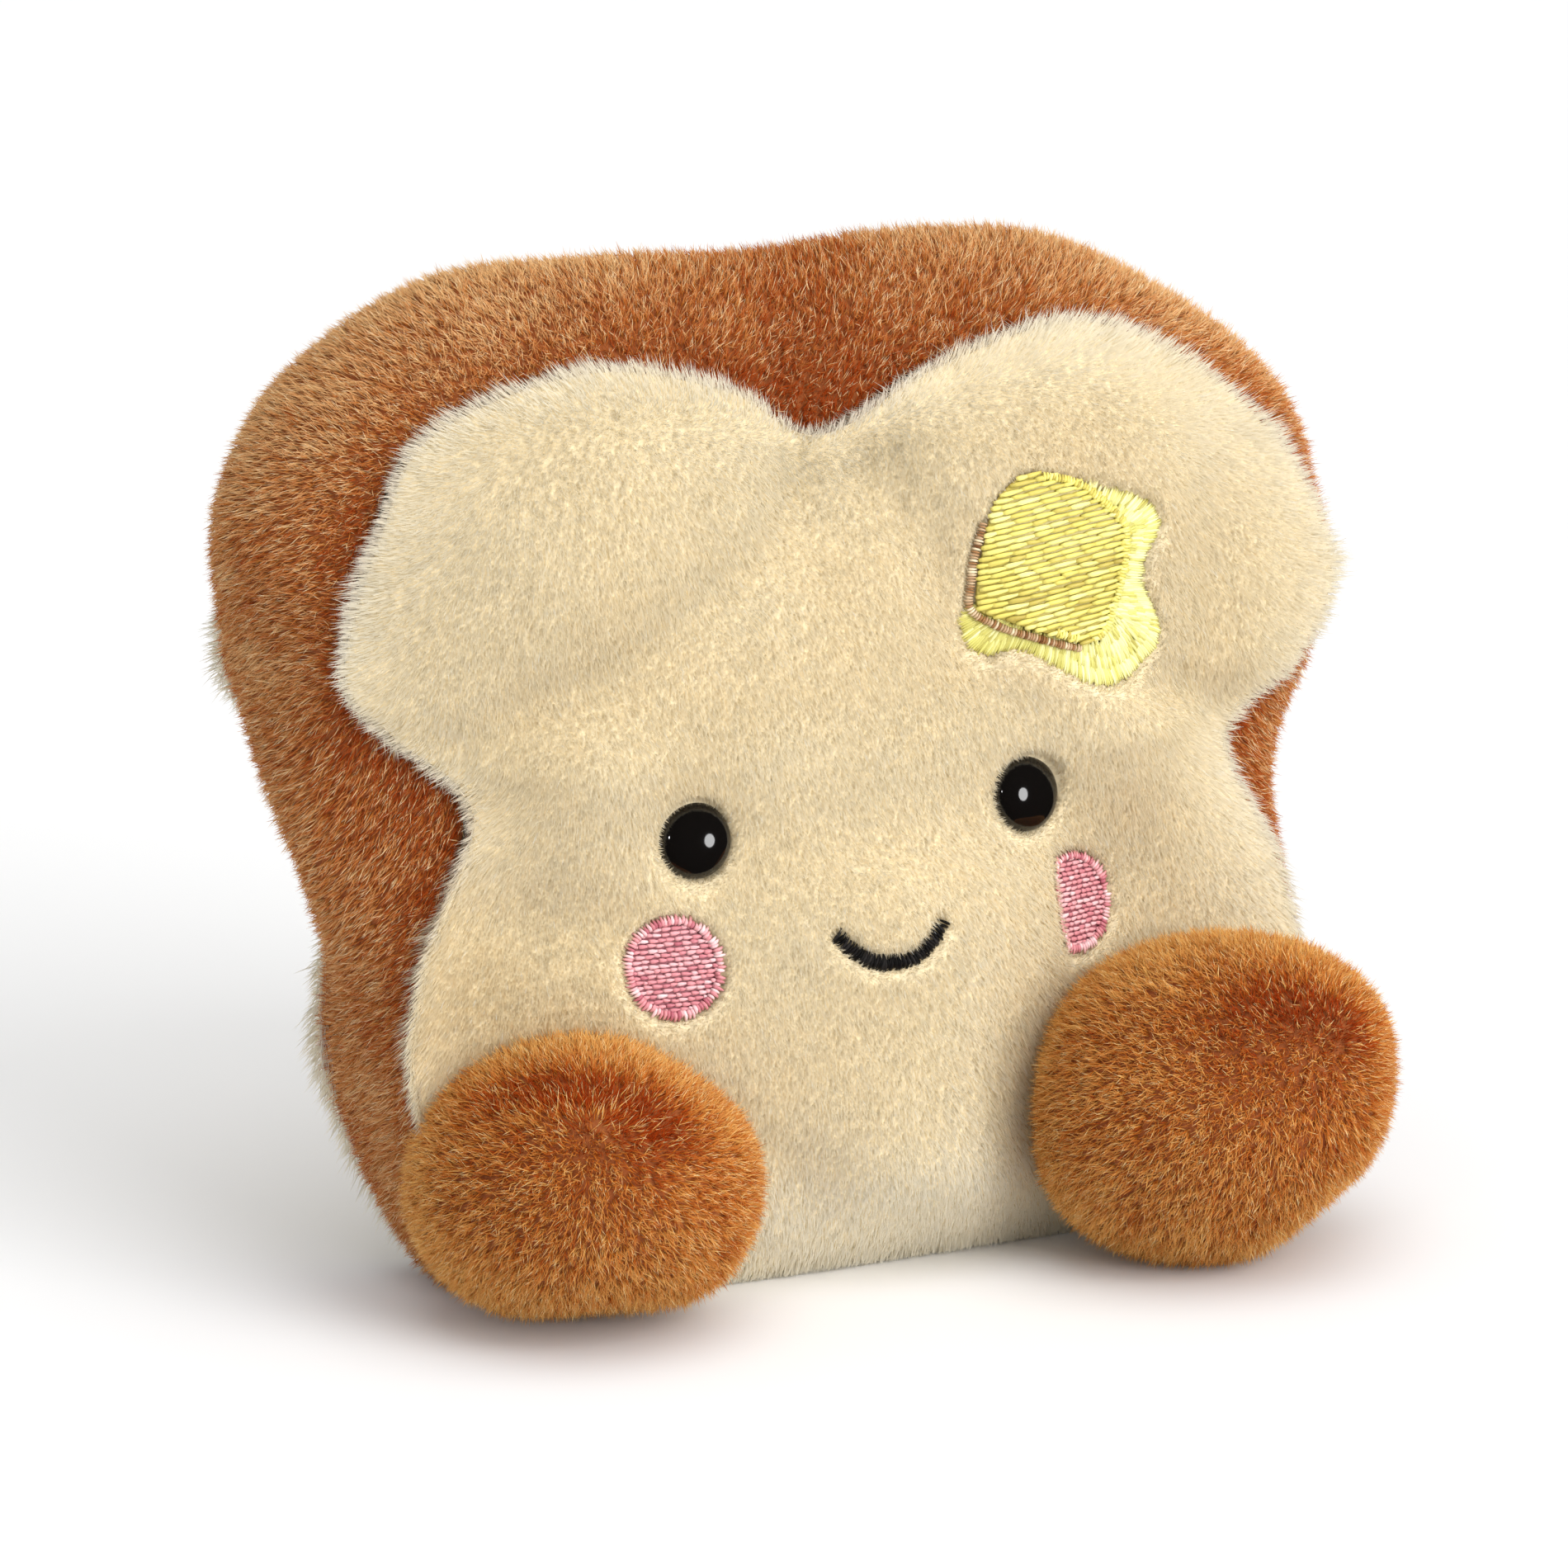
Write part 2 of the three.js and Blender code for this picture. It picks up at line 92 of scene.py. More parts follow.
def smooth_loop(points: Array, steps: int, closed: bool = True) -> Array:
    """Draws the smooth curve that runs through points.

    Args:
        points: (n, 2) points of the curve.
        steps: samples between two points.
        closed: whether the last point joins the first.

    Returns:
        Samples along the curve, without the repeated end of a closed one.
    """
    count = len(points)
    share = (np.arange(steps) / steps)[:, None]
    pieces = []
    for i in range(count if closed else count - 1):
        before, start, end, after = (
            points[(i + k) % count] if closed else points[min(max(i + k, 0), count - 1)]
            for k in (-1, 0, 1, 2)
        )
        linear = (end - before) * share
        square = (2 * before - 5 * start + 4 * end - after) * share**2
        cube = (3 * start - before - 3 * end + after) * share**3
        pieces.append(0.5 * (2 * start + linear + square + cube))
    if not closed:
        pieces.append(points[-1:])
    return np.concatenate(pieces)


def line_distance(points: Array, path: Array, closed: bool = False) -> Array:
    """Measures how far points lie from a line of straight pieces.

    Args:
        points: places, whose last axis holds two or three numbers.
        path: (m, 2) or (m, 3) points of the line.
        closed: whether the line joins up.

    Returns:
        The distances.
    """
    nearest = np.full(points.shape[:-1], np.inf)
    ends = np.roll(path, -1, 0)
    pieces = zip(path, ends) if closed else zip(path[:-1], ends[:-1])
    for start, end in pieces:
        step = end - start
        share = np.clip((points - start) @ step / (step @ step), 0, 1)
        away = np.linalg.norm(points - start - share[..., None] * step, axis=-1)
        nearest = np.minimum(nearest, away)
    return nearest


def outline_distance(spots: Array, outline: Array) -> Array:
    """Measures how far panel places lie outside an outline, with minus signs inside it.

    Args:
        spots: places on the panel, whose last axis holds x and z.
        outline: (n, 2) points of the outline.

    Returns:
        The distances.
    """
    x, z = spots[..., 0], spots[..., 1]
    inside = np.zeros(x.shape, bool)
    for (ax, az), (bx, bz) in zip(outline, np.roll(outline, -1, 0)):
        if az != bz:
            inside ^= ((az > z) != (bz > z)) & (x < ax + (z - az) * (bx - ax) / (bz - az))
    away = line_distance(spots, outline, closed=True)
    return np.where(inside, -away, away)


def circle(x: float, z: float, radius: float, steps: int) -> Array:
    """Points of a circle on the panel, anticlockwise as seen from the front."""
    angle = np.linspace(0, 2 * np.pi, steps, endpoint=False)
    return np.stack([x + radius * np.cos(angle), z + radius * np.sin(angle)], -1)


def lattice_values(cells: Array, lattice: Array) -> Array:
    """Random values that belong to the cells of an endless lattice."""
    i, j, k = np.moveaxis(cells % NOISE_CELLS, -1, 0)
    return lattice[i, j, k]


def soft_noise(points: Array, size: float, seed: int) -> Array:
    """Smooth random vectors that vary over space.

    Args:
        points: (n, 3) places.
        size: distance over which the value changes.
        seed: choice of pattern.

    Returns:
        (n, 3) values from -1 to 1.
    """
    shape = (NOISE_CELLS,) * 3 + (3,)
    lattice = np.random.default_rng(seed).uniform(-1, 1, shape).astype(np.float32)
    at = points / size
    cell = np.floor(at).astype(int)
    part = (at - cell).astype(np.float32)
    part = part * part * (3 - 2 * part)
    total = np.zeros((len(points), 3), np.float32)
    for corner in itertools.product((0, 1), repeat=3):
        weight = np.prod(np.where(np.array(corner) == 1, part, 1 - part), axis=1, keepdims=True)
        total += weight * lattice_values(cell + corner, lattice)
    return total


def share_past(value: Array, start: float | Array, span: float | Array) -> Array:
    """Share of the span past a start that values have passed, from 0 to 1."""
    return np.clip((value - start) / span, 0, 1)


def mottled(points: Array, layers: tuple) -> Array:
    """Adds up soft patches of shade.

    Args:
        points: (n, 3) places.
        layers: size, strength and seed of each layer of patches.

    Returns:
        (n,) shades around zero.
    """
    return sum(soft_noise(points, size, seed)[:, 0] * strength for size, strength, seed in layers)


def tuft_centres(points: Array, size: float, seed: int) -> tuple[Array, Array]:
    """Finds the nearest of many scattered tuft centres.

    Args:
        points: (n, 3) places.
        size: usual distance between centres.
        seed: choice of pattern.

    Returns:
        (n, 3) ways to the nearest centre, and (n,) distances to it as shares of size.
    """
    lattice = np.random.default_rng(seed).uniform(0, 1, (NOISE_CELLS,) * 3 + (3,))
    at = points / size
    cell = np.floor(at).astype(int)
    way, nearest = np.zeros(points.shape), np.full(len(points), np.inf)
    for step in itertools.product((-1, 0, 1), repeat=3):
        near = cell + step
        gap = near + lattice_values(near, lattice) - at
        away = np.linalg.norm(gap, axis=1)
        closer = away < nearest
        nearest[closer], way[closer] = away[closer], gap[closer]
    return way * size, nearest


# ---- the stuffed shape ----


@dataclass(frozen=True)
class Swell:
    """A soft rise or hollow of a stuffed panel."""

    rise: float
    x: float
    z: float
    spread_x: float
    spread_z: float

    def height(self, x: Array, z: Array) -> Array:
        """Height of the swell at (x, z)."""
        across = (x - self.x) ** 2 / (2 * self.spread_x**2)
        return self.rise * np.exp(-across - (z - self.z) ** 2 / (2 * self.spread_z**2))


@dataclass(frozen=True)
class Fold:
    """A soft crease of a stuffed panel along a line."""

    depth: float
    width: float
    path: tuple

    def height(self, x: Array, z: Array) -> Array:
        """Height of the crease at (x, z), which is negative."""
        away = line_distance(np.stack([x, z], -1), np.array(self.path, float))
        return -self.depth * np.exp(-(away**2) / (2 * self.width**2))


class Swelling:
    """How far stuffing has pushed each place of a cloth, as a smooth field over space."""

    def __init__(self, places: Array, moves: Array, cell: float = 3.0) -> None:
        """Spreads moves over a grid of points.

        Args:
            places: (n, 3) places of the cloth before it was stuffed.
            moves: (n, 3) how far each was pushed.
            cell: distance between points of the grid.
        """
        margin = 3
        self.cell = cell
        self.low = places.min(0) - margin * cell
        size = ((places.max(0) - self.low) / cell).astype(int) + margin + 2
        self.total, self.weight = np.zeros((*size, 3)), np.zeros(size)
        base = np.floor((places - self.low) / cell).astype(int)
        for step in itertools.product(range(-1, 3), repeat=3):
            node = base + step
            gap = self.low + node * cell - places
            weight = np.exp(-(gap**2).sum(1) / (2 * cell**2))
            np.add.at(self.weight, tuple(node.T), weight)
            np.add.at(self.total, tuple(node.T), weight[:, None] * moves)

    def at(self, points: Array) -> Array:
        """Reads the moves at places near the cloth.

        Args:
            points: places, whose last axis holds x, y and z.

        Returns:
            The moves.
        """
        flat = points.reshape(-1, 3)
        spot = np.clip((flat - self.low) / self.cell, 0, np.array(self.weight.shape) - 1.001)
        cell = np.floor(spot).astype(int)
        part = spot - cell
        total, weight = np.zeros(flat.shape), np.full(len(flat), 1e-9)
        for corner in itertools.product((0, 1), repeat=3):
            share = np.prod(np.where(np.array(corner) == 1, part, 1 - part), axis=1)
            node = tuple((cell + corner).T)
            total += share[:, None] * self.total[node]
            weight += share * self.weight[node]
        return (total / weight[:, None]).reshape(points.shape)


@dataclass
class SliceForm:
    """The stuffed slice: the outer surface of its pile, laid out upright and then leaned back."""

    seam_points: tuple = (
        (-1.8, 107.4), (14.2, 114.2), (35.4, 118.7), (51.7, 112.1), (65.8, 99.6), (72.7, 83),
        (66.9, 71.6), (55.2, 62.2), (61.8, 45.7), (65.2, 29.4), (63.4, 14.4), (52.8, 3.2), (29.7, 0),
        (0, 0), (-28.9, 0.3), (-50.2, 3.9), (-59.2, 15.2), (-64.1, 30.8), (-61.5, 45.8), (-53.8, 64.1),
        (-64.3, 75.1), (-69.9, 83.7), (-63.8, 100.4), (-56, 112.3), (-34, 118.4), (-14.4, 114.4),
    )
    crest_points: tuple = (
        (0, 130.4), (20.9, 131.2), (42.1, 129.1), (62.5, 118.3), (75.2, 105.1), (76.1, 87.6), (75.2, 71),
        (69.8, 56.6), (68.6, 43), (67.9, 28.8), (63.7, 12.4), (51.9, -0.9), (29.8, -4), (0, -4),
        (-29.7, -4.3), (-51.1, -1.3), (-61.5, 12.3), (-64.5, 28.6), (-65.6, 42.2), (-69.6, 55.7),
        (-73, 70.9), (-73.5, 86.8), (-75, 103.2), (-63.5, 119.9), (-43.7, 130.7), (-21.1, 131.6),
    )
    steps: int = 14
    lean_deg: float = 7.35
    band_top: float = 28.0
    band_base: float = 23.0
    band_edge_deg: float = 68.0
    sway: float = 3.5
    panel_height: float = 118.0
    hub: tuple = (0.0, 57.0)
    rim: float = 1.6
    front_fullness: float = 5.0
    back_fullness: float = 8.0
    eyes: dict = field(default_factory=lambda: {Side.LEFT: (-24.7, 58.1), Side.RIGHT: (23.1, 58.6)})
    socket: tuple = (-2.2, 6.5)
    # Powers that shape each dome from the hub to the seam: of the share of the way, and of the rest.
    front_crown: tuple = (3, 0.7)
    back_crown: tuple = (2.5, 0.6)
    # The belly in three parts, the lip, the hollow between the eyes, the lobes with a ridge on the
    # right one, the brows beside the notches and the hollow by the right cheek.
    puffs: tuple = (
        Swell(4.2, 0, 28, 26, 25), Swell(3.8, 4, 20, 12, 22), Swell(5.0, 3, 7, 17, 9),
        Swell(1.6, -1, 46, 9, 5), Swell(-1.6, 0.5, 57.5, 12, 4.5),
        Swell(3.6, -38, 94, 19, 15), Swell(3.0, 40, 94, 18, 14), Swell(1.8, 45, 105, 5, 11),
        Swell(2.4, -41, 67, 12, 6), Swell(2.4, 39, 63, 11, 6), Swell(-3.8, 35, 44.5, 7, 9),
    )
    puff_fade: int = 9
    valley: Swell = Swell(-3.0, 0, 106, 8, 12)
    valley_fade: int = 8
    # A sharp crease in a wide one under the left lobe, one left of the butter, two round the right
    # lobe, the drawn-in left side, and one each by the left cheek and over the base.
    folds: tuple = (
        Fold(1.2, 2.2, ((-3.9, 103.7), (-11.1, 94.2), (-22.3, 87.2), (-34.2, 80.2), (-47.4, 76.8),
                        (-54.2, 73.2))),
        Fold(2.4, 6.0, ((-6.5, 98), (-22.3, 86), (-34.2, 79), (-47.4, 75), (-56, 72))),
        Fold(1.8, 3.6, ((5.4, 102.6), (11.5, 92.5), (16.1, 78.4))),
        Fold(2.0, 4.2, ((58.1, 99.8), (53.4, 86.3), (48.6, 71), (56.7, 64.2))),
        Fold(1.6, 2.8, ((56.7, 64.2), (46.8, 69.5), (39, 72.6))),
        Fold(3.0, 9.0, ((-58, 54), (-57, 45), (-60, 32))),
        Fold(1.5, 3.5, ((-56.8, 54.5), (-50, 51.8), (-41.3, 49.8), (-37, 48.6))),
        Fold(1.2, 3.5, ((-15.5, 14.7), (-9.8, 7.1), (2, 5))),
    )
    fold_fade: int = 12
    # The back's belly, lobes, valley and the hollows beside its notches.
    back_puffs: tuple = (
        Swell(2.6, 0, 30, 27, 20), Swell(2.2, -36, 93, 20, 14), Swell(2.2, 36, 93, 20, 14),
        Swell(-2.4, 0, 105, 9, 12), Swell(-1.2, -44, 68, 14, 4), Swell(-1.2, 44, 67, 14, 4),
    )
    swelling: Swelling | None = None

    def __post_init__(self) -> None:
        """Works out both outlines and the place of the slice in the frame."""
        self.seam = smooth_loop(np.array(self.seam_points, float)[::-1], self.steps)
        self.crest = smooth_loop(np.array(self.crest_points, float)[::-1], self.steps)
        spokes = self.seam - np.array(self.hub)
        angles = np.arctan2(spokes[:, 1], spokes[:, 0])
        order = np.argsort(angles)
        self.spoke_angle = angles[order]
        self.spoke_length = np.hypot(*spokes[order].T)
        self.shift = np.zeros(3)
        across = self.band_grid(9)[..., 0]
        low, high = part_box("crust")
        middle = (low.x + high.x) / 2 / MM - (across.min() + across.max()) / 2
        self.shift = np.array([middle, low.y / MM, 0.0])

    def half_band(self, z: Array) -> Array:
        """Depth of the band's middle behind the front seam at height z."""
        return (self.band_base + (self.band_top - self.band_base) * z / self.panel_height) / 2

    def swayed(self, y: Array, z: Array) -> Array:
        """Sideways lean of points that lie y behind the front seam."""
        share = np.clip(z / self.panel_height, 0, 1)
        return -self.sway * y / self.half_band(z) * share**1.5

    def reach(self, x: Array, z: Array) -> Array:
        """Works out how far places lie from the hub.

        Args:
            x: places across.
            z: places up.

        Returns:
            Shares of the way to the seam, from 0 to 1.
        """
        dx, dz = x - self.hub[0], z - self.hub[1]
        far = np.interp(np.arctan2(dz, dx), self.spoke_angle, self.spoke_length, period=2 * np.pi)
        return np.clip(np.hypot(dx, dz) / far, 0, 1)

    def front_rise(self, x: Array, z: Array) -> Array:
        """Works out how far the front stands out of the seam plane.

        Args:
            x: places across.
            z: places up.

        Returns:
            The heights.
        """
        r = self.reach(x, z)
        inner, outer = self.front_crown
        rise = self.rim + self.front_fullness * (1 - r**inner) ** outer
        rise = rise + self.valley.height(x, z) * (1 - r**self.valley_fade)
        for puff in self.puffs:
            rise = rise + puff.height(x, z) * (1 - r**self.puff_fade)
        for fold in self.folds:
            rise = rise + fold.height(x, z) * (1 - r**self.fold_fade)
        deep, spread = self.socket
        for eye in self.eyes.values():
            rise = rise + Swell(deep, *eye, spread, spread).height(x, z)
        return rise

    def seat(self, x: Array, y: Array, z: Array) -> Array:
        """Leans upright points back, keeps them off the ground and places them in the frame.

        Args:
            x: places across.
            y: places behind the front seam.
            z: places up.

        Returns:
            The points, pushed by the stuffing once that is known.
        """
        lean = math.radians(self.lean_deg)
        depth = y * math.cos(lean) + z * math.sin(lean)
        height = np.maximum(z * math.cos(lean) - y * math.sin(lean), 0)
        points = np.stack(np.broadcast_arrays(x, depth, height), -1) + self.shift
        if self.swelling is not None:
            points += self.swelling.at(points)
            points[..., 2] = np.maximum(points[..., 2], 0)
        return points

    def front(self, x: Array, z: Array, level: float | Array = 0.0) -> Array:
        """Points on the front pile, raised by level."""
        return self.seat(x, -(self.front_rise(x, z) + level), z)

    def front_normal(self, x: Array, z: Array) -> Array:
        """Works out the outward directions of the front pile.

        Args:
            x: places across.
            z: places up.

        Returns:
            The directions.
        """
        step = 0.4
        across = self.front(x + step, z) - self.front(x - step, z)
        up = self.front(x, z + step) - self.front(x, z - step)
        return unit(np.cross(across, up))

    def spread(self, share: Array) -> tuple[Array, Array]:
        """Places on a panel at shares of the way from the hub to the seam."""
        flat = np.array(self.hub) + (self.seam - np.array(self.hub)) * share[:, None, None]
        return flat[..., 0], flat[..., 1]

    def front_grid(self, share: Array) -> Array:
        """Rings of points on the front pile, at shares of the way from the hub to the seam."""
        return self.front(*self.spread(share))

    def back_grid(self, share: Array) -> Array:
        """Rings of points on the back pile.

        Args:
            share: share of the way from the hub to the seam at which each ring lies.

        Returns:
            The rings.
        """
        x, z = self.spread(share)
        y = 2 * self.half_band(z)
        r = share[:, None]
        inner, outer = self.back_crown
        rise = self.rim + self.back_fullness * (1 - r**inner) ** outer
        for puff in self.back_puffs:
            rise = rise + puff.height(x, z) * (1 - r**self.puff_fade)
        return self.seat(x + self.swayed(y, z), y + rise, z)

    def edge_grid(self, face: Face, share: Array, drop: Array) -> Array:
        """Rings that turn in from a panel's edge down into the seam.

        Args:
            face: the panel's face.
            share: share of the way from the hub to the seam at which each ring lies.
            drop: how far each ring lies below the panel's edge.

        Returns:
            The rings.
        """
        x, z = self.spread(share)
        if face is Face.FRONT:
            return self.seat(x, drop[:, None] - self.rim, z)
        y = 2 * self.half_band(z) + self.rim - drop[:, None]
        return self.seat(x + self.swayed(y, z), y, z)

    def band_flat(self, rings: int) -> tuple[Array, Array, Array]:
        """Lays the band out upright.

        Args:
            rings: number of rings from the front seam to the back seam.

        Returns:
            Places across, behind the front seam and up, each of one row for a ring.
        """
        edge = math.radians(self.band_edge_deg)
        angle = np.linspace(-edge, edge, rings)[:, None]
        share = ((np.cos(angle) - math.cos(edge)) / (1 - math.cos(edge)))[..., None]
        flat = self.seam + (self.crest - self.seam) * share
        x, z = flat[..., 0], flat[..., 1]
        y = self.half_band(z) * (1 + np.sin(angle) / math.sin(edge))
        return x + self.swayed(y, z), y, z

    def band_grid(self, rings: int) -> Array:
        """Rings of points on the band's pile, from the front seam to the back seam."""
        return self.seat(*self.band_flat(rings))


# ---- meshes ----


def make_mesh(
    name: str, points: Array, faces: Array, uv: Array | None = None, normals: Array | None = None
) -> bpy.types.Object:
    """Makes a piece from arrays.

    Args:
        name: the piece's name.
        points: (n, 3) corner places in millimetres.
        faces: (m, 3) corner numbers.
        uv: (n, 2) map place of each corner, if the piece has a map.
        normals: (n, 3) directions for shading, if they aren't the faces' own.

    Returns:
        The new object, linked to the scene.
    """
    mesh = bpy.data.meshes.new(name)
    mesh.vertices.add(len(points))
    mesh.vertices.foreach_set("co", (points * MM).astype(np.float32).ravel())
    mesh.loops.add(faces.size)
    mesh.loops.foreach_set("vertex_index", faces.astype(np.int32).ravel())
    mesh.polygons.add(len(faces))
    mesh.polygons.foreach_set("loop_start", np.arange(len(faces), dtype=np.int32) * faces.shape[1])
    if uv is not None:
        layer = mesh.uv_layers.new(name="OFBake")
        layer.data.foreach_set("uv", uv[faces.ravel()].astype(np.float32).ravel())
    if normals is not None:
        own = mesh.attributes.new("custom_normal", "FLOAT_VECTOR", "POINT")
        own.data.foreach_set("vector", normals.astype(np.float32).ravel())
    mesh.update(calc_edges=True)
    mesh.shade_smooth()
    made = bpy.data.objects.new(name, mesh)
    bpy.context.scene.collection.objects.link(made)
    return made


def ring_faces(here: Array, there: Array) -> Array:
    """Triangles between rings of corner numbers that run to the back, facing outwards."""
    a, b, c, d = here, np.roll(here, -1, 1), there, np.roll(there, -1, 1)
    return np.concatenate([np.stack(corners, -1).reshape(-1, 3) for corners in ((a, c, d), (a, d, b))])


def closed_shell(rings: Array, wrap: bool = False) -> tuple[Array, Array]:
    """Closes rings into a shell whose faces point outwards.

    Args:
        rings: (rows, columns, 3) points, anticlockwise seen from the front and running to the back.
        wrap: whether the last ring joins the first; otherwise a point closes each end.

    Returns:
        The points and the triangles.
    """
    rows, columns = rings.shape[:2]
    at = np.arange(rows * columns).reshape(rows, columns)
    points = rings.reshape(-1, 3)
    if wrap:
        return points, ring_faces(at, np.roll(at, -1, 0))
    points = np.concatenate([points, [rings[0].mean(0), rings[-1].mean(0)]])
    start, end = (np.full(columns, rows * columns + k) for k in (0, 1))
    first = np.stack([start, at[0], np.roll(at[0], -1)], -1)
    last = np.stack([end, np.roll(at[-1], -1), at[-1]], -1)
    return points, np.concatenate([ring_faces(at[:-1], at[1:]), first, last])


@dataclass
class Skin:
    """A grid of points on a base cloth: rings by places along a ring."""

    points: Array
    place: Array
    comb: Array

    def __post_init__(self) -> None:
        """Works out the outward directions from the grid, and lays the comb along the cloth."""
        around = np.roll(self.points, -1, 1) - np.roll(self.points, 1, 1)
        along = np.gradient(self.points, axis=0)
        self.normals = unit(np.cross(along, around))
        self.comb = self.comb - (self.comb * self.normals).sum(-1, keepdims=True) * self.normals

    def inset(self, depth: float | Array) -> "Skin":
        """Moves the skin inwards and keeps it off the ground.

        Args:
            depth: how far, all over or at each point.

        Returns:
            The new skin.
        """
        off_ground = 0.3
        points = self.points - self.normals * (depth[..., None] if np.ndim(depth) else depth)
        points[..., 2] = np.maximum(points[..., 2], off_ground)
        return Skin(points, self.place, self.comb)

    def scatter(self, per_mm2: float, rng: np.random.Generator) -> Places:
        """Spreads places evenly over the skin.

        Args:
            per_mm2: places on a square millimetre.
            rng: source of the random draw.

        Returns:
            Root points, outward directions, comb directions and places on the cloth.
        """
        at = np.arange(self.points.shape[0] * self.points.shape[1]).reshape(self.points.shape[:2])
        corners = ring_faces(at[:-1], at[1:])
        flat = self.points.reshape(-1, 3)
        a, b, c = (flat[corners[:, k]] for k in range(3))
        total = np.cumsum(np.linalg.norm(np.cross(b - a, c - a), axis=1) / 2)
        count = int(total[-1] * per_mm2)
        pick = np.searchsorted(total, (np.arange(count) + rng.random(count)) / count * total[-1])
        picked = corners[np.minimum(pick, len(corners) - 1)]
        u, v = rng.random((2, count))
        over = u + v > 1
        u, v = np.where(over, 1 - u, u), np.where(over, 1 - v, v)
        share = np.stack([1 - u - v, u, v], -1)[..., None]

        def mixed(values: Array) -> Array:
            """Values at the scattered places."""
            return (values.reshape(-1, 3)[picked] * share).sum(1)

        return {
            "root": mixed(self.points),
            "normal": unit(mixed(self.normals)),
            "comb": mixed(self.comb),
            "place": mixed(self.place),
            "lay": np.ones(count),
            "size": np.ones(count),
        }


@dataclass(frozen=True)
class PileCut:
    """How one cloth's pile is cut and lies.

    It has per_mm2 strands on a square millimetre, tilted by tilt_deg along the comb. Chance bends
    each by stray, waves and tufts bend them together, and gleam is how far each strand's own
    facing shows in its shading. A share of strands carries a light dash, a painted glint, and
    strands get painted light in the middle of their tufts and painted shade between them.
    """

    per_mm2: float
    length: float
    width: float
    tilt_deg: float
    stray: float
    wave: float
    wave_size: float
    tuft: float
    tuft_size: float
    # Painted light in the middle of tufts and painted shade between them.
    tuft_painted_shade: float
    mottle: float
    # Share of strands with a light dash, a painted glint.
    painted_glint: float
    gleam: float
    sunk: float = 0.3
    least_rise: float = 0.3
    shortest_share: float = 0.75
    longer_share: float = 0.5
    width_span: tuple = (0.7, 1.3)
    widest_at: float = 0.45
    curl_up: float = 0.3
    curl_down: float = 0.12
    curl_stray: float = 0.1
    twist: float = 0.5
    tuft_reach: float = 0.7
    off_ground: float = 0.15


class Pile:
    """Grows the pile of one cloth as thin kite-shaped strands."""

    def __init__(self, cut: PileCut, seed: int) -> None:
        """Gets ready to grow.

        Args:
            cut: how the pile is cut.
            seed: choice of its random draws.
        """
        self.cut = cut
        self.seed = seed
        self.rng = np.random.default_rng(seed)

    def strands(self, at: Places) -> tuple[Array, Array, Array]:
        """Shapes a strand at each place.

        Args:
            at: the scattered places.

        Returns:
            (n, 4, 3) corners from root to tip, (n, 3) shading directions and (n,) how near each
            strand stands to the middle of its tuft, from -0.5 to 0.5.
        """
        cut, rng, normal = self.cut, self.rng, at["normal"]
        root = at["root"] - normal * cut.sunk
        count = len(root)
        way, away = tuft_centres(root, cut.tuft_size, self.seed)
        way -= (way * normal).sum(1, keepdims=True) * normal
        lean = at["comb"] * math.tan(math.radians(cut.tilt_deg)) * at["lay"][:, None]
        lean += cut.wave * soft_noise(root, cut.wave_size, self.seed + 1) * at["lay"][:, None]
        lean += cut.tuft * way / (0.5 * cut.tuft_size)
        along = unit(normal + lean + rng.normal(0, cut.stray, (count, 3)))
        outward = (along * normal).sum(1, keepdims=True)
        along = unit(along + normal * np.maximum(cut.least_rise - outward, 0))
        long = cut.shortest_share + cut.longer_share * rng.random(count) ** 2
        length = (cut.length * long * at["size"])[:, None]
        rise = unit(along + normal * cut.curl_up + rng.normal(0, cut.curl_stray, (count, 3)))
        fall = unit(along - normal * cut.curl_down + rng.normal(0, cut.curl_stray, (count, 3)))
        middle = root + rise * length * cut.widest_at
        tip = middle + fall * length * (1 - cut.widest_at)
        across = unit(np.cross(along, unit(normal + rng.normal(0, cut.twist, (count, 3)))))
        facing = np.cross(across, along)
        across = np.where((facing * normal).sum(1, keepdims=True) < 0, -across, across)
        half = across * (cut.width * 0.5 * rng.uniform(*cut.width_span, count))[:, None]
        points = np.stack([root, middle - half, middle + half, tip], 1)
        points[..., 2] = np.maximum(points[..., 2], cut.off_ground)
        shading = unit(normal * (1 - cut.gleam) + np.cross(across, along) * cut.gleam)
        return points, shading, 0.5 - np.clip(away / cut.tuft_reach, 0, 1)

    def grow(
        self,
        name: str,
        skin: Skin,
        tone: Callable[[Places], Array],
        groom: Callable[[Places], Places] | None = None,
        pieces: int = 1,
    ) -> list[bpy.types.Object]:
        """Grows the pile over a skin.

        Args:
            name: name of the pieces, which are numbered if there are several.
            skin: the base cloth.
            tone: gives each strand's shade from 0 to 1.
            groom: takes out strands or lays them otherwise.
            pieces: number of pieces that the strands are dealt out to.

        Returns:
            The new pieces.
        """
        rng, cut = self.rng, self.cut
        at = skin.scatter(cut.per_mm2, rng)
        if groom is not None:
            at = groom(at)
        points, shading, middle = self.strands(at)
        count = len(points)
        # Painted light in the middle of tufts and painted shade between them.
        shade = tone(at) + cut.tuft_painted_shade * middle + rng.normal(0, cut.mottle, count)
        # A share of strands gets a light dash, a painted glint.
        shade = np.where(rng.random(count) < cut.painted_glint, PAINTED_GLINT_SHADE, np.clip(shade, *SHADES))
        map_across, map_up = np.array([[0, -0.01, 0.01, 0], [0.02, 0.45, 0.45, 0.98]])
        uv = np.stack(np.broadcast_arrays(shade[:, None] + map_across, map_up), -1)
        deal = rng.permutation(count) % pieces
        made = []
        for k in range(pieces):
            mine = deal == k
            faces = np.arange(mine.sum())[:, None, None] * 4 + np.array([[0, 2, 1], [1, 2, 3]])
            label = name if pieces == 1 else f"{name}_{k + 1}"
            flat = (points[mine].reshape(-1, 3), faces.reshape(-1, 3), uv[mine].reshape(-1, 2))
            made.append(make_mesh(label, *flat, np.repeat(shading[mine], 4, 0)))
        return made


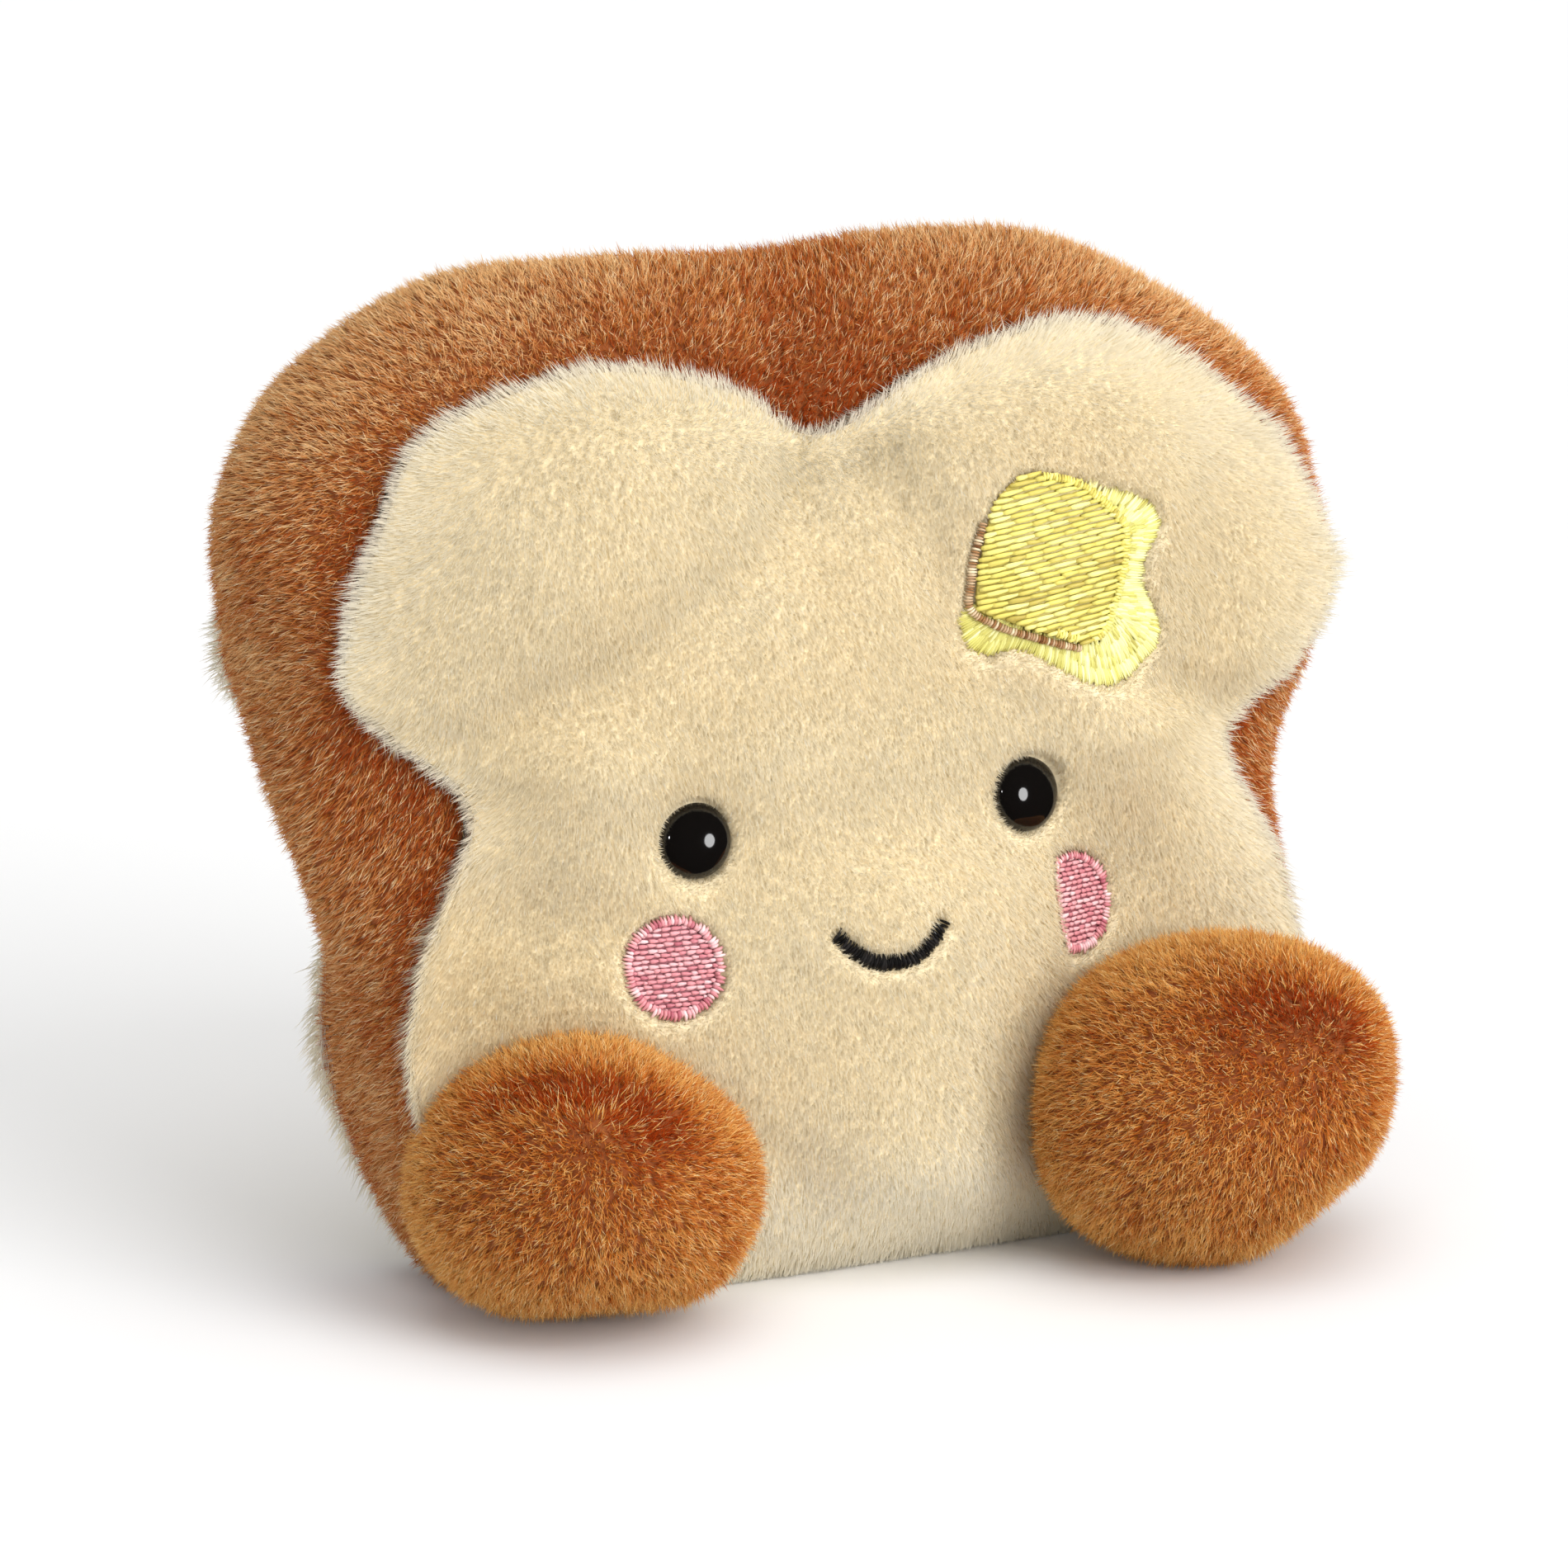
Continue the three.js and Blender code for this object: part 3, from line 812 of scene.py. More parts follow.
@dataclass
class Filling:
    """The stuffing, which blows the sewn cloth up between its seams in a short cloth simulation.

    The push of the stuffing on each place nears most, however far the cloth moved there.
    """

    form: SliceForm
    panel_rings: int = 14
    band_rings: int = 11
    voxel: float = 4.5
    pressure: float = 4.0
    frames: int = 16
    most: float = 1.6
    held_by_seam: float = 4.0
    held_by_eye: float = 5.0

    def sewn(self, places: Array) -> Array:
        """Works out how firmly thread or the ground holds each place.

        Args:
            places: (n, 3) places on the body.

        Returns:
            Values from 0 to 1.
        """
        band = self.form.band_grid(3)
        near = np.minimum(*(line_distance(places, band[k, ::3], closed=True) for k in (0, -1)))
        firm = np.exp(-((near / self.held_by_seam) ** 2))
        for x, z in self.form.eyes.values():
            eye = self.form.front(np.array(x), np.array(z))
            away = np.linalg.norm(places - eye, axis=1)
            firm = np.maximum(firm, np.exp(-((away / self.held_by_eye) ** 2)))
        return np.where(places[:, 2] < self.voxel / 2, 1.0, firm)

    def build(self) -> None:
        """Simulates the body and keeps how far its cloth has moved, less the usual swell."""
        shares = np.linspace(0.1, 1, self.panel_rings)
        front, back = self.form.front_grid(shares), self.form.back_grid(shares)
        rings = np.concatenate([front, self.form.band_grid(self.band_rings)[1:-1], back[::-1]])
        cloth = make_mesh("stuffing_trial", *closed_shell(rings))
        bpy.ops.object.select_all(action="DESELECT")
        bpy.context.view_layer.objects.active = cloth
        cloth.select_set(True)
        even = cloth.modifiers.new("even", "REMESH")
        even.mode, even.voxel_size = "VOXEL", self.voxel * MM
        bpy.ops.object.modifier_apply(modifier=even.name)
        count = len(cloth.data.vertices)
        rest, normals, after = (np.zeros((count, 3), np.float32) for _ in range(3))
        cloth.data.vertices.foreach_get("co", rest.ravel())
        cloth.data.vertices.foreach_get("normal", normals.ravel())
        group = cloth.vertex_groups.new(name="sewn")
        for index, firm in enumerate(self.sewn(rest / MM)):
            group.add([index], float(firm), "REPLACE")
        stuffing = cloth.modifiers.new("stuffing", "CLOTH")
        stuffing.settings.use_pressure = True
        stuffing.settings.uniform_pressure_force = self.pressure
        stuffing.settings.vertex_group_mass = group.name
        stuffing.settings.effector_weights.gravity = 0
        stuffing.point_cache.frame_end = self.frames
        scene = bpy.context.scene
        for number in range(1, self.frames + 1):
            scene.frame_set(number)
        blown = cloth.evaluated_get(bpy.context.evaluated_depsgraph_get()).to_mesh()
        blown.vertices.foreach_get("co", after.ravel())
        moves = (after - rest).astype(float) / MM
        far = np.linalg.norm(moves, axis=1, keepdims=True)
        moves *= self.most / np.hypot(self.most, far)
        usual = (moves * normals).sum(1).mean()
        self.form.swelling = Swelling(rest / MM, moves - normals * usual)
        log.info("stuffing: %d points moved by %.2f mm at most", count, far.max())
        bpy.data.objects.remove(cloth)
        scene.frame_set(1)


# ---- thread ----


def model_stitch() -> tuple[Array, Array]:
    """Models one stitch: a short length of thread that narrows at both ends.

    Returns:
        Its points, with z from 0 to 1 along the thread and x and y from -0.5 to 0.5 across it, and
        its triangles.
    """
    bpy.ops.object.select_all(action="DESELECT")
    bpy.ops.mesh.primitive_cylinder_add(vertices=6, radius=0.5, depth=1, end_fill_type="TRIFAN")
    stitch = bpy.context.object
    bpy.ops.object.mode_set(mode="EDIT")
    for cut in (-0.3, 0.0, 0.3):
        bpy.ops.mesh.select_all(action="SELECT")
        bpy.ops.mesh.bisect(plane_co=(0, 0, cut), plane_no=(0, 0, 1))
    bpy.ops.object.mode_set(mode="OBJECT")
    for vertex in stitch.data.vertices:
        vertex.select = abs(vertex.co.z) > 0.45
    bpy.ops.object.mode_set(mode="EDIT")
    bpy.ops.transform.resize(value=(0.7, 0.7, 1))
    bpy.ops.mesh.select_all(action="SELECT")
    bpy.ops.mesh.quads_convert_to_tris()
    bpy.ops.mesh.normals_make_consistent(inside=False)
    bpy.ops.object.mode_set(mode="OBJECT")
    points = np.array([tuple(v.co) for v in stitch.data.vertices]) + (0, 0, 0.5)
    faces = np.array([tuple(p.vertices) for p in stitch.data.polygons])
    bpy.data.objects.remove(stitch)
    return points, faces


@dataclass(frozen=True)
class Thread:
    """How a run of stitches is sewn: sizes of the thread and its place in the pile."""

    width: float
    rise: float
    level: float
    arch: float
    spread: float = 0.14


@dataclass(frozen=True)
class Hand:
    """How evenly stitches are sewn: chance in width, height and ends, and the overlap in a row.

    Shares are of a stitch's length, width_span is a factor, and the rest is in millimetres.
    """

    width_span: tuple = (0.88, 1.1)
    lift: float = 0.04
    row_end: float = 0.12
    stitch_end_share: float = 0.13
    wobble: float = 0.06
    overlap_share: float = 0.1
    shortest_share: float = 0.25


class Needle:
    """Sews stitches on the front of the slice and joins them into one piece."""

    def __init__(self, form: SliceForm, seed: int) -> None:
        """Threads the needle.

        Args:
            form: the slice.
            seed: choice of its random draws.
        """
        self.form = form
        self.hand = Hand()
        self.rng = np.random.default_rng(seed)
        self.stitch = model_stitch()
        self.points: list[Array] = []
        self.faces: list[Array] = []
        self.uv: list[Array] = []
        self.total = 0

    def keep(self, points: Array, faces: Array, uv: Array) -> None:
        """Adds a mesh to the piece.

        Args:
            points: (n, 3) corner places.
            faces: (m, 3) corner numbers.
            uv: (n, 2) map place of each corner.
        """
        self.points.append(points)
        self.faces.append(faces + self.total)
        self.uv.append(uv)
        self.total += len(points)

    def ground(self, outline: Array, low: float, high: float) -> None:
        """Lays a thin pad of thread under the stitches.

        Args:
            outline: its edge on the panel, anticlockwise.
            low: level of its underside.
            high: level of its top.
        """
        centre = outline.mean(0)
        out = (0.1, 0.4, 0.7, 0.9, 0.98)
        shares = np.array([*out, 1.0, *reversed(out)])
        levels = np.array([high] * len(out) + [(low + high) / 2] + [low] * len(out))[:, None]
        flat = centre + (outline - centre) * shares[:, None, None]
        points, faces = closed_shell(self.form.front(flat[..., 0], flat[..., 1], levels))
        # The pad takes a dark shade at the darkened end of the map: painted shade in the gaps between
        # stitches.
        self.keep(points, faces, np.full((len(points), 2), (0.2, 0.1)) + points[:, :2] * 1e-4)

    def sew(self, starts: Array, ends: Array, thread: Thread, tone: float | Array = 0.55) -> None:
        """Sews one stitch from each start to its end.

        Args:
            starts: (n, 2) places on the panel.
            ends: (n, 2) places on the panel.
            thread: sizes and place of the thread.
            tone: mean shade of each stitch, from 0 to 1.
        """
        shape, corners = self.stitch
        count = len(starts)
        step = ends - starts
        side = np.stack([-step[:, 1], step[:, 0]], -1) / np.linalg.norm(step, axis=1, keepdims=True)
        along, across, up = shape[:, 2], shape[:, 0], shape[:, 1]
        wide = thread.width * self.rng.uniform(*self.hand.width_span, (count, 1, 1))
        flat = starts[:, None] + step[:, None] * along[:, None] + side[:, None] * across[:, None] * wide
        lift = self.rng.normal(0, self.hand.lift, (count, 1))
        height = thread.level + up * thread.rise + thread.arch * 4 * along * (1 - along) + lift
        points = self.form.front(flat[..., 0], flat[..., 1], height)
        faces = (np.arange(count)[:, None, None] * len(shape) + corners).reshape(-1, 3)
        mean = np.broadcast_to(tone, count)[:, None]
        shade = np.clip(mean + self.rng.normal(0, thread.spread, (count, 1)), 0.05, 0.95)
        uv = np.stack(np.broadcast_arrays(shade + 0.01 * across, 0.02 + 0.96 * along), -1)
        self.keep(points.reshape(-1, 3), faces, uv.reshape(-1, 2))

    def fill(
        self, outline: Array, slant_deg: float, pitch: float, length: float, thread: Thread
    ) -> None:
        """Fills an area with rows of stitches, each row set off against the next.

        Args:
            outline: edge of the area on the panel.
            slant_deg: how far the rows rise to the right.
            pitch: distance between rows.
            length: length of a stitch.
            thread: sizes and place of the thread.
        """
        hand, slant = self.hand, math.radians(slant_deg)
        turn = np.array([[math.cos(slant), -math.sin(slant)], [math.sin(slant), math.cos(slant)]])
        overlap = hand.overlap_share * length
        a = outline @ turn
        b = np.roll(a, -1, 0)
        starts, ends = [], []
        for height in np.arange(a[:, 1].min() + pitch / 2, a[:, 1].max(), pitch):
            crossing = (a[:, 1] > height) != (b[:, 1] > height)
            share = (height - a[crossing, 1]) / (b[crossing, 1] - a[crossing, 1])
            reached = a[crossing, 0] + (b[crossing, 0] - a[crossing, 0]) * share
            low, high = np.array([reached.min(), reached.max()]) + self.rng.normal(0, hand.row_end, 2)
            begin = low - length * self.rng.random()
            edges = np.arange(begin, high + length, length)
            uneven = self.rng.normal(0, hand.stitch_end_share * length, len(edges))
            edges = np.clip(edges + uneven, low, high)
            for left, right in zip(edges[:-1], edges[1:]):
                if right - left > hand.shortest_share * length:
                    wobble = self.rng.normal(0, hand.wobble, 2)
                    starts.append((left - overlap, height + wobble[0]))
                    ends.append((right + overlap, height + wobble[1]))
        self.sew(np.array(starts) @ turn.T, np.array(ends) @ turn.T, thread)

    def piece(self, name: str) -> bpy.types.Object:
        """Joins all that was sewn into one piece."""
        return make_mesh(name, *(np.concatenate(part) for part in (self.points, self.faces, self.uv)))


# ---- finishes ----


def srgb(red: float, green: float, blue: float) -> tuple[float, float, float, float]:
    """Turns a screen colour of 0 to 255 into a linear colour.

    Args:
        red: red part.
        green: green part.
        blue: blue part.

    Returns:
        Linear red, green, blue and a full alpha.
    """
    parts = (c / 255 for c in (red, green, blue))
    linear = [c / 12.92 if c <= 0.04045 else ((c + 0.055) / 1.055) ** 2.4 for c in parts]
    return (*linear, 1.0)


def grey(value: float) -> tuple[float, float, float, float]:
    """A grey of the given linear value."""
    return (value, value, value, 1.0)


class Nodes:
    """A short way to write a material's node tree."""

    def __init__(self, name: str) -> None:
        """Starts an empty node material.

        Args:
            name: the material's name.
        """
        self.material = bpy.data.materials.new(name)
        self.material.use_nodes = True
        self.tree = self.material.node_tree
        self.tree.nodes.clear()

    def add(self, kind: str, sockets: dict | None = None, **values: str) -> bpy.types.Node:
        """Adds a node.

        Args:
            kind: the node's type.
            sockets: a value or another node's socket for each socket, by name or number.
            values: the node's own properties by name.

        Returns:
            The node.
        """
        node = self.tree.nodes.new(kind)
        for key, value in values.items():
            setattr(node, key, value)
        for key, value in (sockets or {}).items():
            if isinstance(value, Socket):
                self.tree.links.new(value, node.inputs[key])
            else:
                node.inputs[key].default_value = value
        return node

    def ramp(self, factor: Socket, stops: tuple) -> Socket:
        """Adds a colour ramp.

        Args:
            factor: what the ramp reads.
            stops: (place, colour) pairs.

        Returns:
            The ramp's colour.
        """
        node = self.add("ShaderNodeValToRGB", {0: factor})
        elements = node.color_ramp.elements
        while len(elements) < len(stops):
            elements.new(0.5)
        for element, (place, colour) in zip(elements, stops):
            element.position, element.color = place, colour
        return node.outputs[0]

    def mix(
        self, blend: str, factor: float | Socket, first: tuple | Socket, second: tuple | Socket
    ) -> Socket:
        """Mixes two colours.

        Args:
            blend: how they are mixed.
            factor: share of the second.
            first: a colour or a socket.
            second: a colour or a socket.

        Returns:
            The mixed colour.
        """
        sockets = {0: factor, 6: first, 7: second}  # the colour inputs of a mix node
        return self.add("ShaderNodeMix", sockets, data_type="RGBA", blend_type=blend).outputs[2]

    def noise(self, scale: float, detail: float) -> Socket:
        """Adds a noise over the piece's own space.

        Args:
            scale: grains on a metre.
            detail: finer layers.

        Returns:
            The noise's value.
        """
        place = self.add("ShaderNodeTexCoord").outputs["Object"]
        return self.add("ShaderNodeTexNoise", {0: place, "Scale": scale, "Detail": detail}).outputs[0]

    def map_place(self) -> tuple[Socket, Socket]:
        """Reads the two numbers of a piece's map.

        Returns:
            The places across and up the map.
        """
        place = self.add("ShaderNodeUVMap", uv_map="OFBake").outputs[0]
        split = self.add("ShaderNodeSeparateXYZ", {0: place})
        return split.outputs[0], split.outputs[1]

    def finish(self, shader: bpy.types.Node) -> bpy.types.Material:
        """Joins the shader to the output and returns the material."""
        self.add("ShaderNodeOutputMaterial", {0: shader.outputs[0]})
        return self.material


@dataclass(frozen=True)
class PileFinish:
    """Soft short pile: shade across the map and root to tip up the map, with painted shade at the roots
    and a painted glint on some strands.
    """

    name: str
    dark: tuple
    middle: tuple
    light: tuple
    dark_tip: tuple
    light_tip: tuple
    # Colour of the light dash, a painted glint.
    painted_glint: tuple
    # Brightness of the roots, a painted shade deep in the pile.
    painted_root_shade: float
    tipped: float
    glow: float
    sheen: float
    roughness: float = 0.65
    shine: float = 0.15
    sheen_roughness: float = 0.5

    def material(self) -> bpy.types.Material:
        """Makes the pile's material.

        Returns:
            The material, which reads a strand's shade across the map and its height up the map.
        """
        nodes = Nodes(self.name)
        shade, height = nodes.map_place()
        stops = ((0.0, self.dark), (0.45, self.middle), (0.9, self.light))
        body = nodes.ramp(shade, tuple((place, srgb(*colour)) for place, colour in stops))
        # Darker roots: painted shade deep in the pile.
        rise = nodes.ramp(height, ((0.0, grey(self.painted_root_shade)), (0.55, grey(0.93)), (1.0, grey(1))))
        deep = nodes.mix("MULTIPLY", 1.0, body, rise)
        tip = nodes.ramp(shade, ((0.0, srgb(*self.dark_tip)), (0.9, srgb(*self.light_tip))))
        tipped = nodes.ramp(height, ((0.4, grey(0)), (0.9, grey(self.tipped))))
        soft = nodes.mix("MIX", tipped, deep, tip)
        # A light dash on the outer part of the chosen strands: a painted glint.
        chosen = nodes.ramp(shade, ((0.925, grey(0)), (0.935, grey(1))))
        dash = nodes.ramp(height, ((0.62, grey(0)), (0.7, grey(1)), (0.94, grey(1)), (1.0, grey(0))))
        glint = nodes.mix("MULTIPLY", 1.0, chosen, dash)
        colour = nodes.mix("MIX", glint, soft, srgb(*self.painted_glint))
        sockets = {
            "Base Color": colour, "Roughness": self.roughness, "Specular IOR Level": self.shine,
            "Sheen Weight": self.sheen, "Sheen Roughness": self.sheen_roughness,
            "Sheen Tint": srgb(*self.light_tip),
        }
        fibre = nodes.add("ShaderNodeBsdfPrincipled", sockets)
        through = nodes.add("ShaderNodeBsdfTranslucent", {0: colour})
        both = {0: self.glow, 1: fibre.outputs[0], 2: through.outputs[0]}
        return nodes.finish(nodes.add("ShaderNodeMixShader", both))


@dataclass(frozen=True)
class ClothFinish:
    """The knitted base cloth under a pile."""

    name: str
    colour: tuple
    darker: float = 0.85
    scale: float = 900.0
    bump_strength: float = 0.4
    bump_height: float = 0.3
    roughness: float = 0.9

    def material(self) -> bpy.types.Material:
        """Makes the base cloth's material.

        Returns:
            The material.
        """
        nodes = Nodes(self.name)
        knit = nodes.noise(self.scale, 2.0)
        dark = srgb(*(self.darker * part for part in self.colour))
        colour = nodes.ramp(knit, ((0.3, dark), (0.7, srgb(*self.colour))))
        relief = {"Strength": self.bump_strength, "Distance": self.bump_height * MM, "Height": knit}
        bump = nodes.add("ShaderNodeBump", relief)
        sockets = {"Base Color": colour, "Roughness": self.roughness, "Normal": bump.outputs[0]}
        return nodes.finish(nodes.add("ShaderNodeBsdfPrincipled", sockets))


@dataclass(frozen=True)
class ThreadFinish:
    """Shiny embroidery thread: shade across the map, and painted shade where a stitch dives in."""

    name: str
    dark: tuple
    middle: tuple
    light: tuple
    # Brightness where a stitch dives in, a painted shade.
    painted_dive_shade: float
    roughness: float = 0.32
    shine: float = 0.7
    ply_scale: float = 5000.0
    bump_strength: float = 0.25
    bump_height: float = 0.1

    def material(self) -> bpy.types.Material:
        """Makes the thread's material.

        Returns:
            The material, which reads a stitch's shade across the map and its length up the map.
        """
        nodes = Nodes(self.name)
        shade, along = nodes.map_place()
        stops = ((0.1, self.dark), (0.5, self.middle), (0.9, self.light))
        body = nodes.ramp(shade, tuple((place, srgb(*colour)) for place, colour in stops))
        # Painted shade at both ends of a stitch.
        dives = ((0.0, grey(self.painted_dive_shade)), (0.2, grey(1)), (0.8, grey(1)), (1.0, grey(self.painted_dive_shade)))
        colour = nodes.mix("MULTIPLY", 1.0, body, nodes.ramp(along, dives))
        ply = nodes.noise(self.ply_scale, 1.0)
        relief = {"Strength": self.bump_strength, "Distance": self.bump_height * MM, "Height": ply}
        bump = nodes.add("ShaderNodeBump", relief)
        sockets = {
            "Base Color": colour, "Roughness": self.roughness, "Specular IOR Level": self.shine,
            "Normal": bump.outputs[0],
        }
        return nodes.finish(nodes.add("ShaderNodeBsdfPrincipled", sockets))


@dataclass(frozen=True)
class GlossFinish:
    """Polished black plastic of a domed toy eye."""

    name: str
    colour: tuple
    shine: float = 0.5
    wear_scale: float = 350.0
    smoothest: float = 0.04
    roughest: float = 0.09

    def material(self) -> bpy.types.Material:
        """Makes the eye's material.

        Returns:
            The material.
        """
        nodes = Nodes(self.name)
        worn = {0: nodes.noise(self.wear_scale, 3.0), "To Min": self.smoothest, "To Max": self.roughest}
        rough = nodes.add("ShaderNodeMapRange", worn).outputs[0]
        sockets = {
            "Base Color": srgb(*self.colour), "Roughness": rough, "Specular IOR Level": self.shine,
        }
        return nodes.finish(nodes.add("ShaderNodeBsdfPrincipled", sockets))


CRUST_PILE = PileFinish(
    "brown_crust_pile", dark=(170, 62, 0), middle=(214, 132, 46), light=(247, 203, 140),
    dark_tip=(190, 76, 0), light_tip=(253, 218, 166), painted_glint=(255, 234, 190),
    painted_root_shade=0.26, tipped=0.5, glow=0.38, sheen=0.12,
)
CRUMB_PILE = PileFinish(
    "pale_crumb_pile", dark=(246, 230, 193), middle=(253, 243, 217), light=(255, 250, 235),
    dark_tip=(254, 245, 220), light_tip=(255, 253, 244), painted_glint=(255, 255, 250),
    painted_root_shade=0.97, tipped=0.4, glow=0.6, sheen=0.05,
)
FOOT_PILE = PileFinish(
    "brown_foot_pile", dark=(168, 52, 0), middle=(216, 123, 24), light=(249, 190, 102),
    dark_tip=(190, 70, 0), light_tip=(253, 208, 134), painted_glint=(255, 230, 170),
    painted_root_shade=0.26, tipped=0.5, glow=0.38, sheen=0.12,
)
CRUST_CLOTH = ClothFinish("brown_base_cloth", (160, 88, 42))
CRUMB_CLOTH = ClothFinish("pale_base_cloth", (246, 229, 192))
EYE_GLOSS = GlossFinish("black_eye_gloss", (14, 12, 11))
CHEEK_THREAD = ThreadFinish(
    "pink_cheek_thread", dark=(190, 104, 118), middle=(228, 152, 158), light=(250, 216, 218), painted_dive_shade=0.45
)
SMILE_THREAD = ThreadFinish(
    "black_smile_thread", dark=(8, 7, 7), middle=(18, 16, 16), light=(40, 37, 36), painted_dive_shade=0.5,
    roughness=0.5, shine=0.3,
)
MELT_THREAD = ThreadFinish(
    "pale_melt_thread", dark=(194, 184, 96), middle=(224, 218, 122), light=(250, 247, 186), painted_dive_shade=0.8
)
BUTTER_THREAD = ThreadFinish(
    "yellow_butter_thread", dark=(190, 170, 78), middle=(235, 222, 113), light=(254, 248, 158), painted_dive_shade=0.85
)
EDGE_THREAD = ThreadFinish(
    "tan_edge_thread", dark=(120, 72, 34), middle=(174, 124, 78), light=(246, 226, 190), painted_dive_shade=0.6
)


def dress(
    pieces: list[bpy.types.Object], material: bpy.types.Material,
    replaced: str = "",
) -> list[bpy.types.Object]:
    """Gives pieces their material and slot, and lets them ride on the toy.

    Args:
        pieces: pieces of one finish.
        material: their finish.
        replaced: the solid that they replace, if they do.

    Returns:
        The pieces.
    """
    for piece in pieces:
        piece.data.materials.append(material)
        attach(piece, "root")
        if replaced:
            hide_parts(replaced)
    return pieces


# ---- things sewn on the front ----


@dataclass
class Eye:
    """One glossy domed eye, sunk in the pile."""

    form: SliceForm
    side: Side
    radius: float = 5.0
    turn: float = 0.1
    lift: float = 0.14
    height: float = 3.6
    foot_share: float = 0.9
    lip: float = 0.15
    wall: float = 0.6
    dome_deg: float = 89.0
    sink: float = 2.4
    columns: int = 64
    steps: int = 14
    bluntness: float = 0.7
    tucked: float = 0.1

    def distance(self, spots: Array) -> Array:
        """How far panel places lie outside the eye, less the edge that the pile hides."""
        return np.linalg.norm(spots - self.form.eyes[self.side], axis=-1) - self.radius + self.tucked

    @staticmethod
    def extrude(lift: float, widen: float = 1.0) -> None:
        """Extrudes the selected end of the dome.

        Args:
            lift: how far.
            widen: how much wider the new end is.
        """
        bpy.ops.mesh.extrude_region_move(TRANSFORM_OT_translate={"value": (0, 0, lift)})
        if widen != 1:
            bpy.ops.transform.resize(value=(widen, widen, 1))

    def build(self) -> list[bpy.types.Object]:
        """Builds the dome from a disc by extruding and narrowing it ring by ring.

        Returns:
            The dome.
        """
        bpy.ops.object.select_all(action="DESELECT")
        foot = self.radius * self.foot_share
        bpy.ops.mesh.primitive_circle_add(vertices=self.columns, radius=foot, fill_type="NGON")
        dome = bpy.context.object
        bpy.ops.object.mode_set(mode="EDIT")
        bpy.ops.mesh.select_all(action="SELECT")
        self.extrude(self.lip, 1 / self.foot_share)
        self.extrude(self.wall - self.lip)
        angles = [math.radians(self.dome_deg) * k / self.steps for k in range(self.steps + 1)]
        heights = [math.sin(angle) ** self.bluntness for angle in angles]
        for k in range(self.steps):
            lift = (self.height - self.wall) * (heights[k + 1] - heights[k])
            self.extrude(lift, math.cos(angles[k + 1]) / math.cos(angles[k]))
        bpy.ops.mesh.select_all(action="SELECT")
        bpy.ops.mesh.normals_make_consistent(inside=False)
        bpy.ops.object.mode_set(mode="OBJECT")
        x, z = (np.array(place) for place in self.form.eyes[self.side])
        turned = Vector((self.side.value * self.turn, 0, self.lift))
        normal = (Vector(self.form.front_normal(x, z)) + turned).normalized()
        place = Vector((0, 0, 1)).rotation_difference(normal).to_matrix().to_4x4()
        place.translation = Vector(self.form.front(x, z)) - normal * self.sink
        dome.data.transform(Matrix.Scale(MM, 4) @ place)
        dome.data.shade_smooth()
        node = f"eye_{self.side.name.lower()}"
        dome.name = f"{node}_dome"
        return dress([dome], EYE_GLOSS.material(), node)


@dataclass
class Cheek:
    """One round pink cheek: rows of stitches inside a satin ring."""

    form: SliceForm
    side: Side
    x: float
    z: float
    tucked: float = 0.0
    radius: float = 6.65
    ring: float = 1.3
    pitch: float = 0.5
    row_pitch: float = 0.64
    row_stitch: float = 1.1
    seed: int = 61
    pad_levels: tuple = (-1.9, -1.35)
    uneven_ends: float = 0.03
    uneven_starts: float = 0.06
    rows: Thread = Thread(width=0.56, rise=0.5, level=-1.15, arch=0.12, spread=0.16)
    satin: Thread = Thread(width=0.475, rise=0.5, level=-1.05, arch=0.4, spread=0.28)

    def outline(self, radius: float, steps: int = 72) -> Array:
        """Draws the cheek's round shape, drawn in where the pile hides its edge.

        Args:
            radius: radius of the shape.
            steps: number of its points.

        Returns:
            The points.
        """
        drawn_in = 0.75
        points = circle(self.x, self.z, radius, steps)
        over = np.maximum(self.x - self.radius + self.tucked - points[:, 0], 0)
        points[:, 0] += drawn_in * over
        return points

    def distance(self, spots: Array) -> Array:
        """How far panel places lie outside the cheek, less the edge that the pile hides."""
        away = np.linalg.norm(spots - (self.x, self.z), axis=-1) - self.radius
        return np.maximum(away, self.x - self.radius + self.tucked - spots[..., 0])

    def build(self) -> list[bpy.types.Object]:
        """Sews the cheek.

        Returns:
            The cheek.
        """
        needle = Needle(self.form, self.seed + self.side.value)
        needle.ground(self.outline(self.radius - 0.4), *self.pad_levels)
        inner = self.radius - self.ring
        needle.fill(self.outline(inner + 0.3), 0, self.row_pitch, self.row_stitch, self.rows)
        steps = int(2 * math.pi * self.radius / self.pitch)
        centre = np.array([self.x, self.z])
        starts, ends = (self.outline(radius, steps) for radius in (inner, self.radius))
        ends = centre + (ends - centre) * (1 + needle.rng.normal(0, self.uneven_ends, (steps, 1)))
        turned = needle.rng.normal(0, self.uneven_starts, (steps, 2))
        needle.sew(starts + turned, ends, self.satin)
        node = f"cheek_{self.side.name.lower()}"
        return dress([needle.piece(f"{node}_stitches")], CHEEK_THREAD.material(), node)


